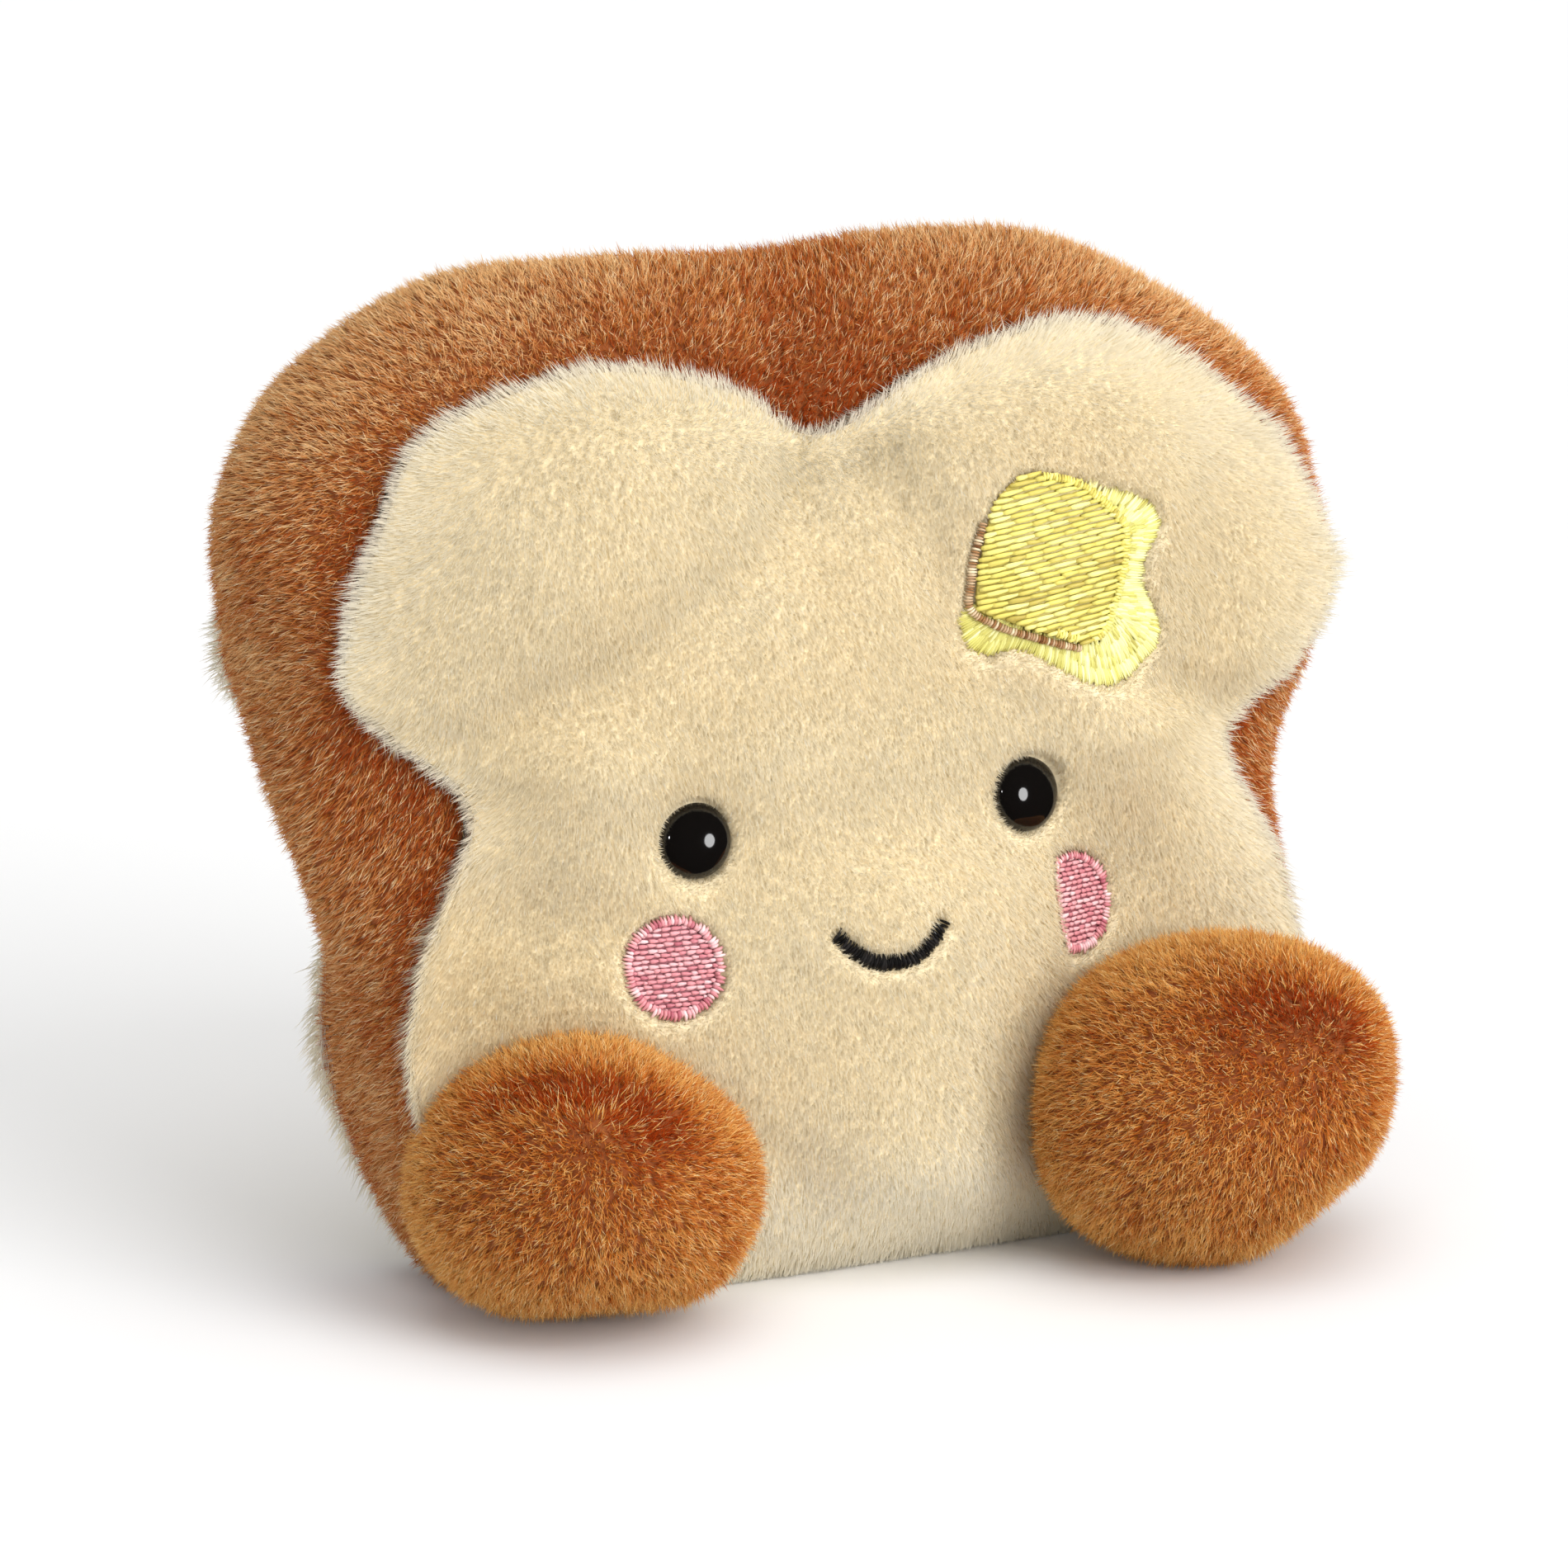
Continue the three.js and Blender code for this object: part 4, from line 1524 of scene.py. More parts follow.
@dataclass
class Smile:
    """The black satin-stitched smile."""

    form: SliceForm
    x: float = -1.0
    half_width: float = 7.4
    z: float = 44.6
    sag: float = 4.3
    bend: float = 2.4
    stroke: float = 2.05
    pitch: float = 0.36
    longer_than_wide: float = 1.25
    tucked: float = 0.25
    seed: int = 71
    uneven: tuple = (0.8, 1.15)
    slant: float = 0.16
    thread: Thread = Thread(width=0.45, rise=0.5, level=-0.95, arch=0.35, spread=0.3)

    def path(self, steps: int) -> Array:
        """Draws the middle line from left to right.

        Args:
            steps: number of its points.

        Returns:
            The points.
        """
        share = np.linspace(-1, 1, steps)
        up = self.z - self.sag * (1 - np.abs(share) ** self.bend)
        return np.stack([self.x + share * self.half_width, up], -1)

    def distance(self, spots: Array) -> Array:
        """How far panel places lie outside the smile, less the edge that the pile hides."""
        return line_distance(spots, self.path(24)) - self.stroke / 2 + self.tucked

    def build(self) -> list[bpy.types.Object]:
        """Sews the smile with uneven stitches that slant a little each way.

        Returns:
            The smile.
        """
        needle = Needle(self.form, self.seed)
        middle = self.path(int(2 * self.half_width * self.longer_than_wide / self.pitch))
        step = np.gradient(middle, axis=0)
        along = unit(step)
        side = np.stack([-along[:, 1], along[:, 0]], -1)
        reach = self.stroke / 2 * needle.rng.uniform(*self.uneven, (len(middle), 2, 1))
        slant = along * needle.rng.normal(0, self.slant, (len(middle), 1))
        starts, ends = middle - side * reach[:, 0] - slant, middle + side * reach[:, 1] + slant
        needle.sew(starts, ends, self.thread)
        return dress([needle.piece("smile_stitches")], SMILE_THREAD.material(), "smile")


@dataclass
class Butter:
    """The butter: a pale melted pool, a yellow pat over it and a brown line along two of its edges."""

    form: SliceForm
    pat: tuple = (
        (24.2, 99.6), (28.2, 99.4), (32.4, 97.9), (36.6, 94.1), (38.2, 91.4), (37.7, 86.3), (36.4, 82.2),
        (34.8, 78.4), (32, 77.1), (29.5, 77.8), (24.7, 79.5), (20.6, 81.2), (17.2, 83), (17.4, 88),
        (18.9, 93.8), (20.4, 96.9),
    )
    melt: tuple = (
        (32.2, 97.9), (36.7, 96.8), (39.8, 95.9), (42.6, 94), (43.4, 91.8), (42.8, 90.1), (41.4, 87.7),
        (40.7, 85.1), (41.4, 82.7), (42.9, 79.8), (43.7, 77.4), (43.2, 75.2), (41.5, 73.6), (39.4, 72.1),
        (36, 71.3), (32.2, 71.8), (27.2, 74.6), (23.2, 76.8), (21, 77.4), (18.4, 76.8), (16.3, 77.8),
        (14.9, 80.1), (15, 82.6), (18.6, 85), (24, 90),
    )
    edge: tuple = (
        (18.2, 93.9), (17.4, 91.4), (16.7, 89.1), (16.4, 86.4), (16, 83.8), (16.8, 82.3), (18.7, 81.1),
        (21, 79.9), (24.6, 78.6), (27.7, 77.5), (30.8, 76.6),
    )
    edge_stroke: float = 1.05
    melt_rings: int = 5
    melt_step: float = 1.7
    melt_tuck: float = 1.5  # how far the pool's stitches may start inside the pat's outline
    melt_pad: tuple = (-2.1, -1.6)
    melt_pitch: float = 0.33
    melt_pitch_step: float = 0.04
    melt_uneven: tuple = (-0.35, 0.35)
    melt_stitch: tuple = (2.4, 3.4)
    melt_level: float = -1.35
    melt_level_step: float = 0.05
    pat_pad: tuple = (-0.95, -0.65)
    rows: Thread = Thread(width=0.66, rise=0.55, level=-0.5, arch=0.14, spread=0.18)
    row_slant_deg: float = 8.0
    row_pitch: float = 0.76
    row_stitch: float = 2.6
    border: Thread = Thread(width=0.42, rise=0.45, level=-0.42, arch=0.25, spread=0.2)
    border_pitch: float = 0.42
    border_from: tuple = (27.0, 77.5)
    border_reach: tuple = (0.7, 1.1)
    border_over: float = 0.15
    edging: Thread = Thread(width=0.33, rise=0.5, level=-0.65, arch=0.3, spread=0.22)
    edging_pitch: float = 0.36
    edging_uneven: tuple = (0.85, 1.15)

    def __post_init__(self) -> None:
        """Draws the smooth outlines, anticlockwise as seen from the front."""
        self.pat_line = smooth_loop(np.array(self.pat, float)[::-1], 5)
        self.melt_line = smooth_loop(np.array(self.melt, float)[::-1], 4)
        self.edge_line = smooth_loop(np.array(self.edge, float), 6, closed=False)
        self.centre = np.array(self.pat).mean(0)

    def distance(self, spots: Array) -> Array:
        """Measures how far panel places lie outside the butter.

        Args:
            spots: places on the panel.

        Returns:
            The distances, rough ones far from the butter.
        """
        # Only places in or by this circle round the butter are measured exactly.
        radius, margin = 21, 3
        measured = np.linalg.norm(spots - self.centre, axis=-1) - radius
        near = measured < margin
        pieces = [outline_distance(spots[near], line) for line in (self.pat_line, self.melt_line)]
        pieces.append(line_distance(spots[near], self.edge_line) - self.edge_stroke / 2)
        measured[near] = np.minimum.reduce(pieces)
        return measured

    @staticmethod
    def even(line: Array, pitch: float, closed: bool) -> tuple[Array, Array]:
        """Spreads places along a line at an even pitch.

        Args:
            line: (n, 2) points.
            pitch: distance between places.
            closed: whether the line joins up.

        Returns:
            The places, and their directions to the line's left.
        """
        full = np.concatenate([line, line[:1]]) if closed else line
        run = np.concatenate([[0], np.cumsum(np.linalg.norm(np.diff(full, axis=0), axis=1))])
        at = np.linspace(0, run[-1], max(int(run[-1] / pitch), 2), endpoint=not closed)
        places, ahead, behind = (
            np.stack([np.interp(at + step, run, full[:, k]) for k in (0, 1)], -1)
            for step in (0, 0.3, -0.3)
        )
        step = ahead - behind
        left = np.stack([-step[:, 1], step[:, 0]], -1)
        return places, left / np.linalg.norm(left, axis=1, keepdims=True)

    def build_melt(self) -> list[bpy.types.Object]:
        """Sews the melted pool in rings of long stitches that spread from the pat.

        Returns:
            The pool.
        """
        needle = Needle(self.form, 81)
        needle.ground(self.melt_line, *self.melt_pad)
        for ring in range(self.melt_rings):
            pitch = self.melt_pitch + self.melt_pitch_step * ring
            places, left = self.even(self.melt_line, pitch, closed=True)
            inward = self.centre - places
            inward = 0.7 * inward / np.linalg.norm(inward, axis=1, keepdims=True) + 0.3 * left
            shifted = ring * self.melt_step + needle.rng.uniform(*self.melt_uneven, (len(places), 1))
            places = places + inward * shifted
            starts = places + inward * needle.rng.uniform(*self.melt_stitch, (len(places), 1))
            shown = outline_distance(starts, self.pat_line) > -self.melt_tuck
            level = self.melt_level + self.melt_level_step * ring
            thread = Thread(width=0.44, rise=0.4, level=level, arch=0.25, spread=0.2)
            # Lighter towards the right, with painted shade on the upper inner rings beside the pat.
            right, high = share_past(places, np.array([24, 84]), np.array([12, 4])).T
            tone = 0.4 + 0.3 * right - 0.12 * ring * high
            needle.sew(starts[shown], places[shown], thread, tone[shown])
        piece = needle.piece("butter_melt_stitches")
        return dress([piece], MELT_THREAD.material(), "butter_melt")

    def build_pat(self) -> list[bpy.types.Object]:
        """Sews the pat's slanting rows and the satin border on its right.

        Returns:
            The pat.
        """
        needle = Needle(self.form, 82)
        needle.ground(self.pat_line, *self.pat_pad)
        needle.fill(self.pat_line, self.row_slant_deg, self.row_pitch, self.row_stitch, self.rows)
        places, left = self.even(self.pat_line, self.border_pitch, closed=True)
        bordered = (places > self.border_from).all(1)
        places, left = places[bordered], left[bordered]
        reach = needle.rng.uniform(*self.border_reach, (len(places), 1))
        needle.sew(places + left * reach, places - left * self.border_over, self.border)
        piece = needle.piece("butter_pat_stitches")
        return dress([piece], BUTTER_THREAD.material(), "butter_pat")

    def build_edge(self) -> list[bpy.types.Object]:
        """Sews the brown line along the pat's left and lower edges.

        Returns:
            The line.
        """
        needle = Needle(self.form, 83)
        places, left = self.even(self.edge_line, self.edging_pitch, closed=False)
        uneven = needle.rng.uniform(*self.edging_uneven, (len(places), 1))
        half = left * self.edge_stroke / 2 * uneven
        needle.sew(places - half, places + half, self.edging)
        piece = needle.piece("butter_edge_stitches")
        return dress([piece], EDGE_THREAD.material(), "butter_edge")

    def build(self) -> list[bpy.types.Object]:
        """Sews the three parts of the butter and returns them."""
        return [*self.build_melt(), *self.build_pat(), *self.build_edge()]


# ---- the slice ----


CRUST_CUT = PileCut(
    per_mm2=14.0, length=2.5, width=0.125, tilt_deg=46, stray=0.32, wave=0.3, wave_size=7.0,
    tuft=0.4, tuft_size=1.4, tuft_painted_shade=0.3, mottle=0.18, painted_glint=0.14, gleam=0.4,
)
FRONT_CUT = PileCut(
    per_mm2=18.0, length=1.75, width=0.13, tilt_deg=53, stray=0.12, wave=0.16, wave_size=8.0,
    tuft=0.04, tuft_size=1.8, tuft_painted_shade=0.0, mottle=0.02, painted_glint=0.02, gleam=0.02,
)
BACK_CUT = PileCut(
    per_mm2=11.0, length=1.85, width=0.15, tilt_deg=52, stray=0.14, wave=0.18, wave_size=8.0,
    tuft=0.04, tuft_size=1.8, tuft_painted_shade=0.0, mottle=0.03, painted_glint=0.015, gleam=0.05,
)
FOOT_CUT = PileCut(
    per_mm2=15.0, length=2.5, width=0.125, tilt_deg=36, stray=0.38, wave=0.3, wave_size=7.0,
    tuft=0.44, tuft_size=1.4, tuft_painted_shade=0.32, mottle=0.19, painted_glint=0.15, gleam=0.4,
)


@dataclass
class CrustBand:
    """The brown band round the slice, from the front seam over its crest to the back seam."""

    form: SliceForm
    depth: float = 1.35
    thickness: float = 1.2
    rings: int = 41
    droop: float = 0.55
    fill: float = 0.9
    pieces: int = 3
    seed: int = 11
    cut: PileCut = CRUST_CUT
    shade: float = 0.57
    # Painted shade by the seams and in the dip, and painted light on the crest.
    painted_shade_by_seams: float = 0.5
    seams_reach: float = 0.3
    painted_shade_in_dip: float = 0.5
    dip_width: float = 16.0
    dip_start: float = 80.0
    dip_span: float = 40.0
    painted_light_on_crest: float = 0.36
    crest_start: float = 92.0
    crest_span: float = 30.0
    patches: tuple = ((9.0, 0.14, 5), (3.0, 0.1, 6))

    def skin(self) -> Skin:
        """Lays out the outer surface of the band's pile.

        Returns:
            The surface, whose places on the cloth hold x, how far to the back from -1 to 1, and z.
        """
        x, _, z = self.form.band_flat(self.rings)
        outer = self.form.band_grid(self.rings)
        comb = unit(np.gradient(outer, axis=0)) + self.droop * DOWN
        band = np.linspace(-1, 1, self.rings)[:, None]
        place = np.stack([x, np.broadcast_to(band, x.shape), z], -1)
        return Skin(outer, place, comb)

    def tone(self, at: Places) -> Array:
        """Paints shade on strands by the seams and in the dip, and painted light on the crest.

        Args:
            at: the scattered places.

        Returns:
            The shades.
        """
        x, band, z = at["place"].T
        edge = np.exp(-((1 - np.abs(band)) / self.seams_reach))
        across = np.exp(-(x**2) / (2 * self.dip_width**2))
        dip = across * share_past(z, self.dip_start, self.dip_span)
        crest = share_past(z, self.crest_start, self.crest_span)
        shade = self.shade - self.painted_shade_by_seams * edge - self.painted_shade_in_dip * dip
        return shade + self.painted_light_on_crest * crest + mottled(at["root"], self.patches)

    def build(self) -> list[bpy.types.Object]:
        """Builds the band's base cloth and its pile.

        Returns:
            The cloth and the pile's pieces.
        """
        outer = self.skin()
        skin, inner = outer.inset(self.depth), outer.inset(self.depth + self.thickness)
        rings = np.concatenate([skin.points, inner.points[::-1]])
        cloth = make_mesh("crust_cloth", *closed_shell(rings, wrap=True))
        made = dress([cloth], CRUST_CLOTH.material(), "crust")
        material = CRUST_PILE.material()
        grown = Pile(self.cut, self.seed).grow("crust_pile", skin, self.tone, pieces=self.pieces)
        return made + dress(grown, material)


@dataclass
class CrumbPanel:
    """A pale panel sewn into the band, at the front round what is sewn on it, or plain at the back."""

    form: SliceForm
    face: Face
    cut: PileCut
    seed: int
    sewn: list = field(default_factory=list)
    depth: float = 0.7
    sewn_depth: float = 1.7
    rings: int = 70
    crowding: float = 1.3  # of the rings towards the seam
    # Share of the way to the seam and drop below the edge of each ring that turns into the seam.
    turned: tuple = ((1.0, 0.6), (0.998, 1.2), (0.988, 1.9), (0.97, 2.6))
    comb_at_seam: float = 2.2
    comb_turned: float = 0.5
    droop: float = 0.8
    fringe: float = 0.45
    fringe_tufts: float = 0.9
    fringe_tuft_size: float = 2.8
    fringe_fade: int = 22
    fringe_turn: float = 0.5
    parted: float = 2.0  # how far from a thing sewn on the pile is parted
    parted_comb: float = 0.3
    parted_trim: float = 0.4
    # Painted shade on the pile round things sewn on.
    parted_painted_shade: float = 0.3
    fill: float = 0.8
    pieces: int = 3
    shade: float = 0.42
    # Painted sheen that whitens the pile by the seam.
    painted_sheen_by_seam: float = 0.46
    # Painted shade by the left foot and on the right lobe, and painted light over the base.
    shades: tuple = (
        Swell(0.5, -54, 36, 12, 16), Swell(0.22, 40, 92, 18, 15), Swell(-0.45, 0, 5, 30, 10),
    )
    patches: tuple = ((11.0, 0.12, 7), (3.0, 0.05, 8))

    def skin(self) -> Skin:
        """Lays out the outer surface of the panel's pile, down into the seam.

        Returns:
            The surface, whose places on the cloth hold x, the share of the way to the seam, and z.
        """
        front = self.face is Face.FRONT
        share = 1 - (1 - np.linspace(0.002, 1, self.rings)) ** self.crowding
        turned, drop = np.array(self.turned).T
        x, z = self.form.spread(np.concatenate([share, turned]))
        top = self.form.front_grid(share) if front else self.form.back_grid(share)
        outer = np.concatenate([top, self.form.edge_grid(self.face, turned, drop)])
        hold = np.concatenate([self.comb_at_seam * share**10, np.full(len(turned), self.comb_turned)])
        comb = unit(np.gradient(outer, axis=0)) * hold[:, None, None] + self.droop * DOWN
        share = np.concatenate([share, 1 + drop / 10])
        place = np.stack([x, np.broadcast_to(share[:, None], x.shape), z], -1)
        order = slice(None) if front else slice(None, None, -1)
        return Skin(outer[order], place[order], comb[order])

    def clearance(self, spots: Array) -> Array:
        """How far panel places lie from the nearest thing sewn on."""
        return np.minimum.reduce([thing.distance(spots) for thing in self.sewn])

    def groom(self, at: Places) -> Places:
        """Lays the pile: longer tufts by the seam, and short and upright round what is sewn on.

        Args:
            at: the scattered places.

        Returns:
            The places that are left.
        """
        share = np.minimum(at["place"][:, 1], 1)
        tufts = np.clip(0.4 + soft_noise(at["root"], self.fringe_tuft_size, 12)[:, 0], 0, 1)
        at["size"] = 1 + share**self.fringe_fade * (self.fringe + self.fringe_tufts * tufts)
        turned = np.where(at["place"][:, 1] > 1, 0, self.fringe_turn * share**12)[:, None]
        at["normal"] = unit(at["normal"] * (1 - turned) + np.array([0, self.face.value, 0]) * turned)
        if self.face is Face.BACK:
            return at
        step, margin = 0.3, 1.0
        spots = at["place"][:, [0, 2]]
        clear = self.clearance(spots)
        near = clear < self.parted + margin
        slope = np.zeros((len(spots), 3))
        for axis, move in ((0, (step, 0)), (2, (0, step))):
            slope[near, axis] = (self.clearance(spots[near] + move) - clear[near]) / step
        close = np.clip(1 - clear / self.parted, 0, 1)[:, None]
        at["close"] = close[:, 0]
        at["comb"] = at["comb"] * (1 - close) - slope * close * self.parted_comb
        at["size"] *= 1 - self.parted_trim * close[:, 0]
        grows = clear > 0
        return {key: value[grows] for key, value in at.items()}

    def tone(self, at: Places) -> Array:
        """Whitens strands by the seam with painted sheen, and adds painted shade by the left foot, on the
        right lobe and round sewn things, and painted light over the base.

        Args:
            at: the scattered places.

        Returns:
            The shades.
        """
        x, share, z = at["place"].T
        shaded = 0.0
        if self.face is Face.FRONT:
            shaded = sum(swell.height(x, z) for swell in self.shades)
            shaded = shaded + self.parted_painted_shade * at["close"]
        pale = self.painted_sheen_by_seam * np.minimum(share, 1) ** 10
        return self.shade + pale - shaded + mottled(at["root"], self.patches)

    def build(self) -> list[bpy.types.Object]:
        """Builds the panel's base cloth and its pile.

        Returns:
            The cloth and the pile's pieces.
        """
        front = self.face is Face.FRONT
        outer = self.skin()
        depth = np.full(outer.points.shape[:2], self.depth)
        if front:
            near = np.clip(0.7 - self.clearance(outer.place[..., [0, 2]]), 0, 1)
            depth += (self.sewn_depth - self.depth) * near * near * (3 - 2 * near)
        skin = outer.inset(depth)
        hub, edge = skin.points[[0, -1] if front else [-1, 0]]
        inward = unit(edge.mean(0) - hub.mean(0))
        under = (edge * 0.97 + edge.mean(0) * 0.03 + inward * 1.5)[None]
        rings = [skin.points, under] if front else [under, skin.points]
        node = f"crumb_{self.face.name.lower()}"
        cloth = make_mesh(f"{node}_cloth", *closed_shell(np.concatenate(rings)))
        made = dress([cloth], CRUMB_CLOTH.material(), node)
        material = CRUMB_PILE.material()
        pile = Pile(self.cut, self.seed)
        grown = pile.grow(f"{node}_pile", skin, self.tone, self.groom, self.pieces)
        return made + dress(grown, material)


@dataclass
class Foot:
    """One round stuffed foot, pressed flat on the ground."""

    form: SliceForm
    side: Side
    centre: tuple
    radii: tuple
    bulges: tuple
    focus: tuple
    crease: tuple
    crease_depth: float
    seed: int
    crease_width: float = 0.11
    bulge_spread: float = 0.12
    span_deg: tuple = (2, 150)
    depth: float = 1.35
    rows: int = 60
    columns: int = 120
    fill: float = 0.9
    cut: PileCut = FOOT_CUT
    shade: float = 0.54
    # Painted shade in and beside the crease, and painted light above, below and round the side.
    painted_shade_in_crease: float = 0.45
    crease_shade_width: float = 0.19
    painted_shade_by_crease: float = 0.2
    wide_shade_width: float = 0.45
    painted_light_above: float = 0.9
    above_start: float = 0.75
    painted_light_below: float = 0.28
    painted_light_round_side: float = 0.3
    side_start: float = -0.7
    patches: tuple = ((8.0, 0.14, 9), (2.6, 0.1, 10))

    def skin(self) -> Skin:
        """Lays out the outer surface of the foot's pile, from its tip to inside the slice.

        Returns:
            The surface, whose places on the cloth hold the way from the foot's centre.
        """
        centre, radii = np.array(self.centre) + self.form.shift, np.array(self.radii)
        theta = np.radians(np.linspace(*self.span_deg, self.rows))[:, None]
        turn = np.linspace(0, 2 * np.pi, self.columns, endpoint=False)[None]
        parts = (np.sin(theta) * np.cos(turn), -np.cos(theta), np.sin(theta) * np.sin(turn))
        around = np.stack(np.broadcast_arrays(*parts), -1)
        facing = unit(around * radii)
        share = np.ones(facing.shape[:2])
        for *toward, rise in self.bulges:
            share += rise * np.exp(-(1 - facing @ unit(np.array(toward))) / self.bulge_spread)
        crease = np.exp(-((self.crease_distance(around) / self.crease_width) ** 2))
        share -= self.crease_depth / radii.mean() * crease
        outer = centre + around * radii * share[..., None]
        outer[..., 2] = np.maximum(outer[..., 2], 0)
        comb = unit(outer - centre - unit(np.array(self.focus)) * radii)
        return Skin(outer, around, comb)

    def crease_distance(self, around: Array) -> Array:
        """How far directions on the foot lie from its crease."""
        return line_distance(around, np.array(self.crease, float))

    def tone(self, at: Places) -> Array:
        """Paints shade on strands in and by the crease, and painted light above it, below it and round
        the side.

        Args:
            at: the scattered places.

        Returns:
            The shades.
        """
        around = at["place"]
        away = self.crease_distance(around)
        shade = self.shade - self.painted_shade_in_crease * np.exp(-((away / self.crease_shade_width) ** 2))
        shade -= self.painted_shade_by_crease * np.exp(-((away / self.wide_shade_width) ** 2))
        shade += self.painted_light_above * share_past(around[:, 2], self.above_start, 1)
        shade += self.painted_light_below * share_past(-around[:, 2], 0, 1)
        shade += self.painted_light_round_side * share_past(around[:, 1], self.side_start, 1)
        return shade + mottled(at["root"], self.patches)

    def build(self) -> list[bpy.types.Object]:
        """Builds the foot's base cloth and its pile.

        Returns:
            The cloth and the pile.
        """
        skin = self.skin().inset(self.depth)
        node = f"foot_{self.side.name.lower()}"
        cloth = make_mesh(f"{node}_cloth", *closed_shell(skin.points))
        made = dress([cloth], CRUST_CLOTH.material(), node)
        material = FOOT_PILE.material()
        grown = Pile(self.cut, self.seed).grow(f"{node}_pile", skin, self.tone)
        return made + dress(grown, material)


# ---- the studio ----


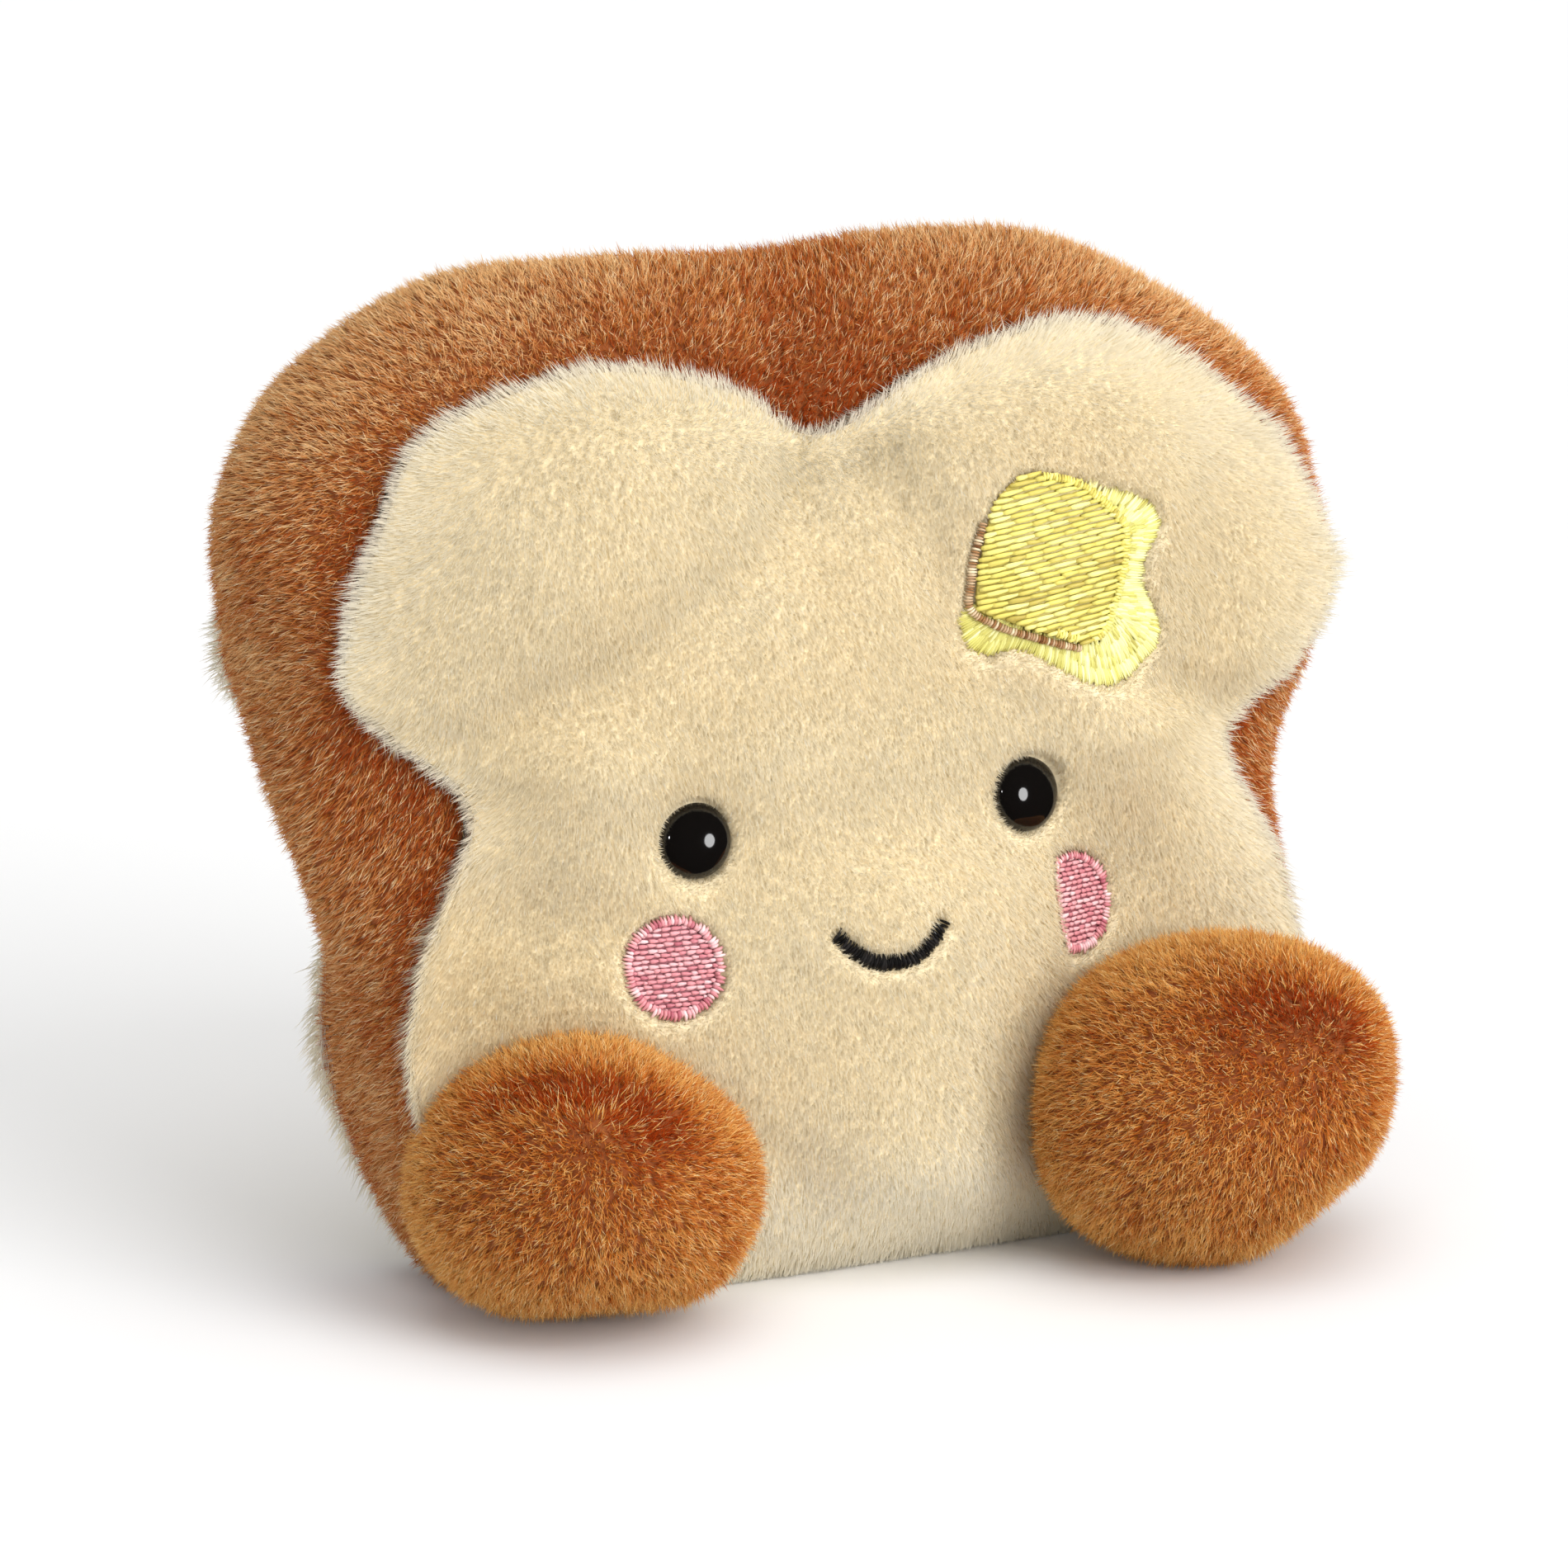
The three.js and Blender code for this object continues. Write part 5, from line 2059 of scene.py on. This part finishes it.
@dataclass
class Studio:
    """Pale floor, soft lights and the camera, all placed round the toy."""

    form: SliceForm
    target: tuple = (-13.2, 0.0, 64.7)
    camera_place: tuple = (-482.13, -920.38, 331.9)
    lens: float = 194.1
    film: float = 36.0
    floor_grey: float = 0.91
    floor_size: float = 60.0
    light_distance: float = 1.2
    world_strength: float = 0.58

    def __post_init__(self) -> None:
        """Works out the place that the lights and the camera look at."""
        self.middle = Vector((self.form.shift + self.target) * MM)

    def seen_from(self, place: Vector) -> Euler:
        """The turn of something at place that looks at the toy."""
        return (self.middle - place).to_track_quat("-Z", "Y").to_euler()

    @staticmethod
    def way(azimuth: float, elevation: float) -> Vector:
        """Direction from the toy at degrees to the right of its front and degrees up."""
        turn, tilt = math.radians(azimuth), math.radians(elevation)
        return Vector((math.sin(turn) * math.cos(tilt), -math.cos(turn) * math.cos(tilt), math.sin(tilt)))

    def area_light(
        self, name: str, azimuth: float, elevation: float, size: float, radiance: float
    ) -> None:
        """Adds a soft round light that faces the toy.

        Args:
            name: the light's name.
            azimuth: degrees to the right of the way the face looks.
            elevation: degrees up.
            size: width in metres.
            radiance: how bright its face is.
        """
        data = bpy.data.lights.new(name, "AREA")
        data.shape, data.size = "DISK", size
        data.energy = radiance * math.pi * math.pi * size**2 / 4
        light = bpy.data.objects.new(name, data)
        light.location = self.middle + self.way(azimuth, elevation) * self.light_distance
        light.rotation_euler = self.seen_from(light.location)
        bpy.context.scene.collection.objects.link(light)

    def sun_light(
        self, name: str, azimuth: float, elevation: float, width: float, strength: float
    ) -> None:
        """Adds an even light from a wide soft disc far away.

        Args:
            name: the light's name.
            azimuth: degrees to the right of the way the face looks.
            elevation: degrees up.
            width: how wide the disc looks, in degrees.
            strength: light on a square metre that faces it, in watts.
        """
        data = bpy.data.lights.new(name, "SUN")
        data.angle, data.energy = math.radians(width), strength
        light = bpy.data.objects.new(name, data)
        light.visible_glossy = False
        light.rotation_euler = self.way(azimuth, elevation).to_track_quat("Z", "Y").to_euler()
        bpy.context.scene.collection.objects.link(light)

    def build_floor(self) -> None:
        """Lays the floor, which glossy surfaces don't mirror."""
        bpy.ops.object.select_all(action="DESELECT")
        bpy.ops.mesh.primitive_plane_add(size=self.floor_size)
        floor = bpy.context.object
        floor.name = "floor"
        nodes = Nodes("pale_floor")
        sockets = {"Base Color": grey(self.floor_grey), "Roughness": 0.8}
        floor.data.materials.append(nodes.finish(nodes.add("ShaderNodeBsdfPrincipled", sockets)))
        floor.visible_glossy = False

    def build_world(self) -> None:
        """Surrounds the toy with even white light, which glossy surfaces don't mirror."""
        world = bpy.data.worlds.new("white_room")
        bpy.context.scene.world = world
        world.use_nodes = True
        background = world.node_tree.nodes["Background"]
        background.inputs["Color"].default_value = grey(1)
        background.inputs["Strength"].default_value = self.world_strength
        world.cycles_visibility.glossy = False
        bpy.context.scene.view_settings.view_transform = "Standard"

    def build_camera(self) -> None:
        """Sets up the camera."""
        data = bpy.data.cameras.new("camera")
        data.lens, data.sensor_width = self.lens, self.film
        camera = bpy.data.objects.new("camera", data)
        camera.location = (self.form.shift + self.camera_place) * MM
        camera.rotation_euler = self.seen_from(camera.location)
        bpy.context.scene.collection.objects.link(camera)
        bpy.context.scene.camera = camera

    def build(self) -> None:
        """Sets up the floor, the lights, the world and the camera."""
        self.build_floor()
        self.area_light("key_light", azimuth=26, elevation=8, size=0.34, radiance=12)
        self.area_light("small_light", azimuth=-49, elevation=18, size=0.09, radiance=34)
        self.sun_light("front_light", azimuth=20, elevation=30, width=40, strength=1.5)
        self.sun_light("top_light", azimuth=15, elevation=74, width=60, strength=1.2)
        self.build_world()
        self.build_camera()


def main() -> None:
    """Builds the studio and the toy."""
    form = SliceForm()
    Studio(form).build()
    Filling(form).build()
    cheeks = [
        Cheek(form, Side.LEFT, x=-29.4, z=42.5),
        Cheek(form, Side.RIGHT, x=29.0, z=43.7, tucked=4.5),
    ]
    sewn = [*(Eye(form, side) for side in Side), *cheeks, Smile(form), Butter(form)]
    left_foot = Foot(
        form, Side.LEFT, centre=(-43.8, -6, 18.7), radii=(23.3, 21.8, 17.8), seed=41,
        bulges=(
            (0.89, -0.45, 0, -0.04), (0.71, -0.16, 0.68, -0.09), (0.11, 0.22, 0.97, 0.035),
            (-0.55, 0.48, 0.68, 0.035), (-0.71, 0.16, -0.68, 0.065), (-0.11, -0.45, -0.89, -0.1),
            (0.55, -0.48, -0.68, 0.06), (0, 0.45, -0.89, 0.08),
        ),
        focus=(-0.26, -0.66, 0.71),
        crease=(
            (-0.59, -0.18, 0.785), (-0.44, -0.28, 0.853), (-0.24, -0.44, 0.867), (-0.07, -0.57, 0.815),
            (0.085, -0.76, 0.64),
        ),
        crease_depth=1.2,
    )
    right_foot = Foot(
        form, Side.RIGHT, centre=(41.3, -16.2, 20.9), radii=(27.4, 23.2, 20.8), seed=51,
        bulges=(
            (0.89, -0.45, 0, -0.14), (-0.89, 0.45, 0, -0.12), (-0.71, 0.16, -0.68, 0.06),
            (-0.11, -0.22, -0.97, 0.066), (0.55, -0.48, -0.68, -0.14),
        ),
        focus=(0.386, -0.695, 0.607),
        crease=((0.04, -0.615, 0.787), (0.2, -0.67, 0.71), (0.386, -0.695, 0.607)),
        crease_depth=0.5,
    )
    front = CrumbPanel(form, Face.FRONT, FRONT_CUT, seed=21, sewn=sewn)
    back = CrumbPanel(form, Face.BACK, BACK_CUT, seed=31)
    for part in [*sewn, CrustBand(form), front, back, left_foot, right_foot]:
        for piece in part.build():
            log.info("%s: %d faces", piece.name, len(piece.data.polygons))


if __name__ == "__main__":
    main()
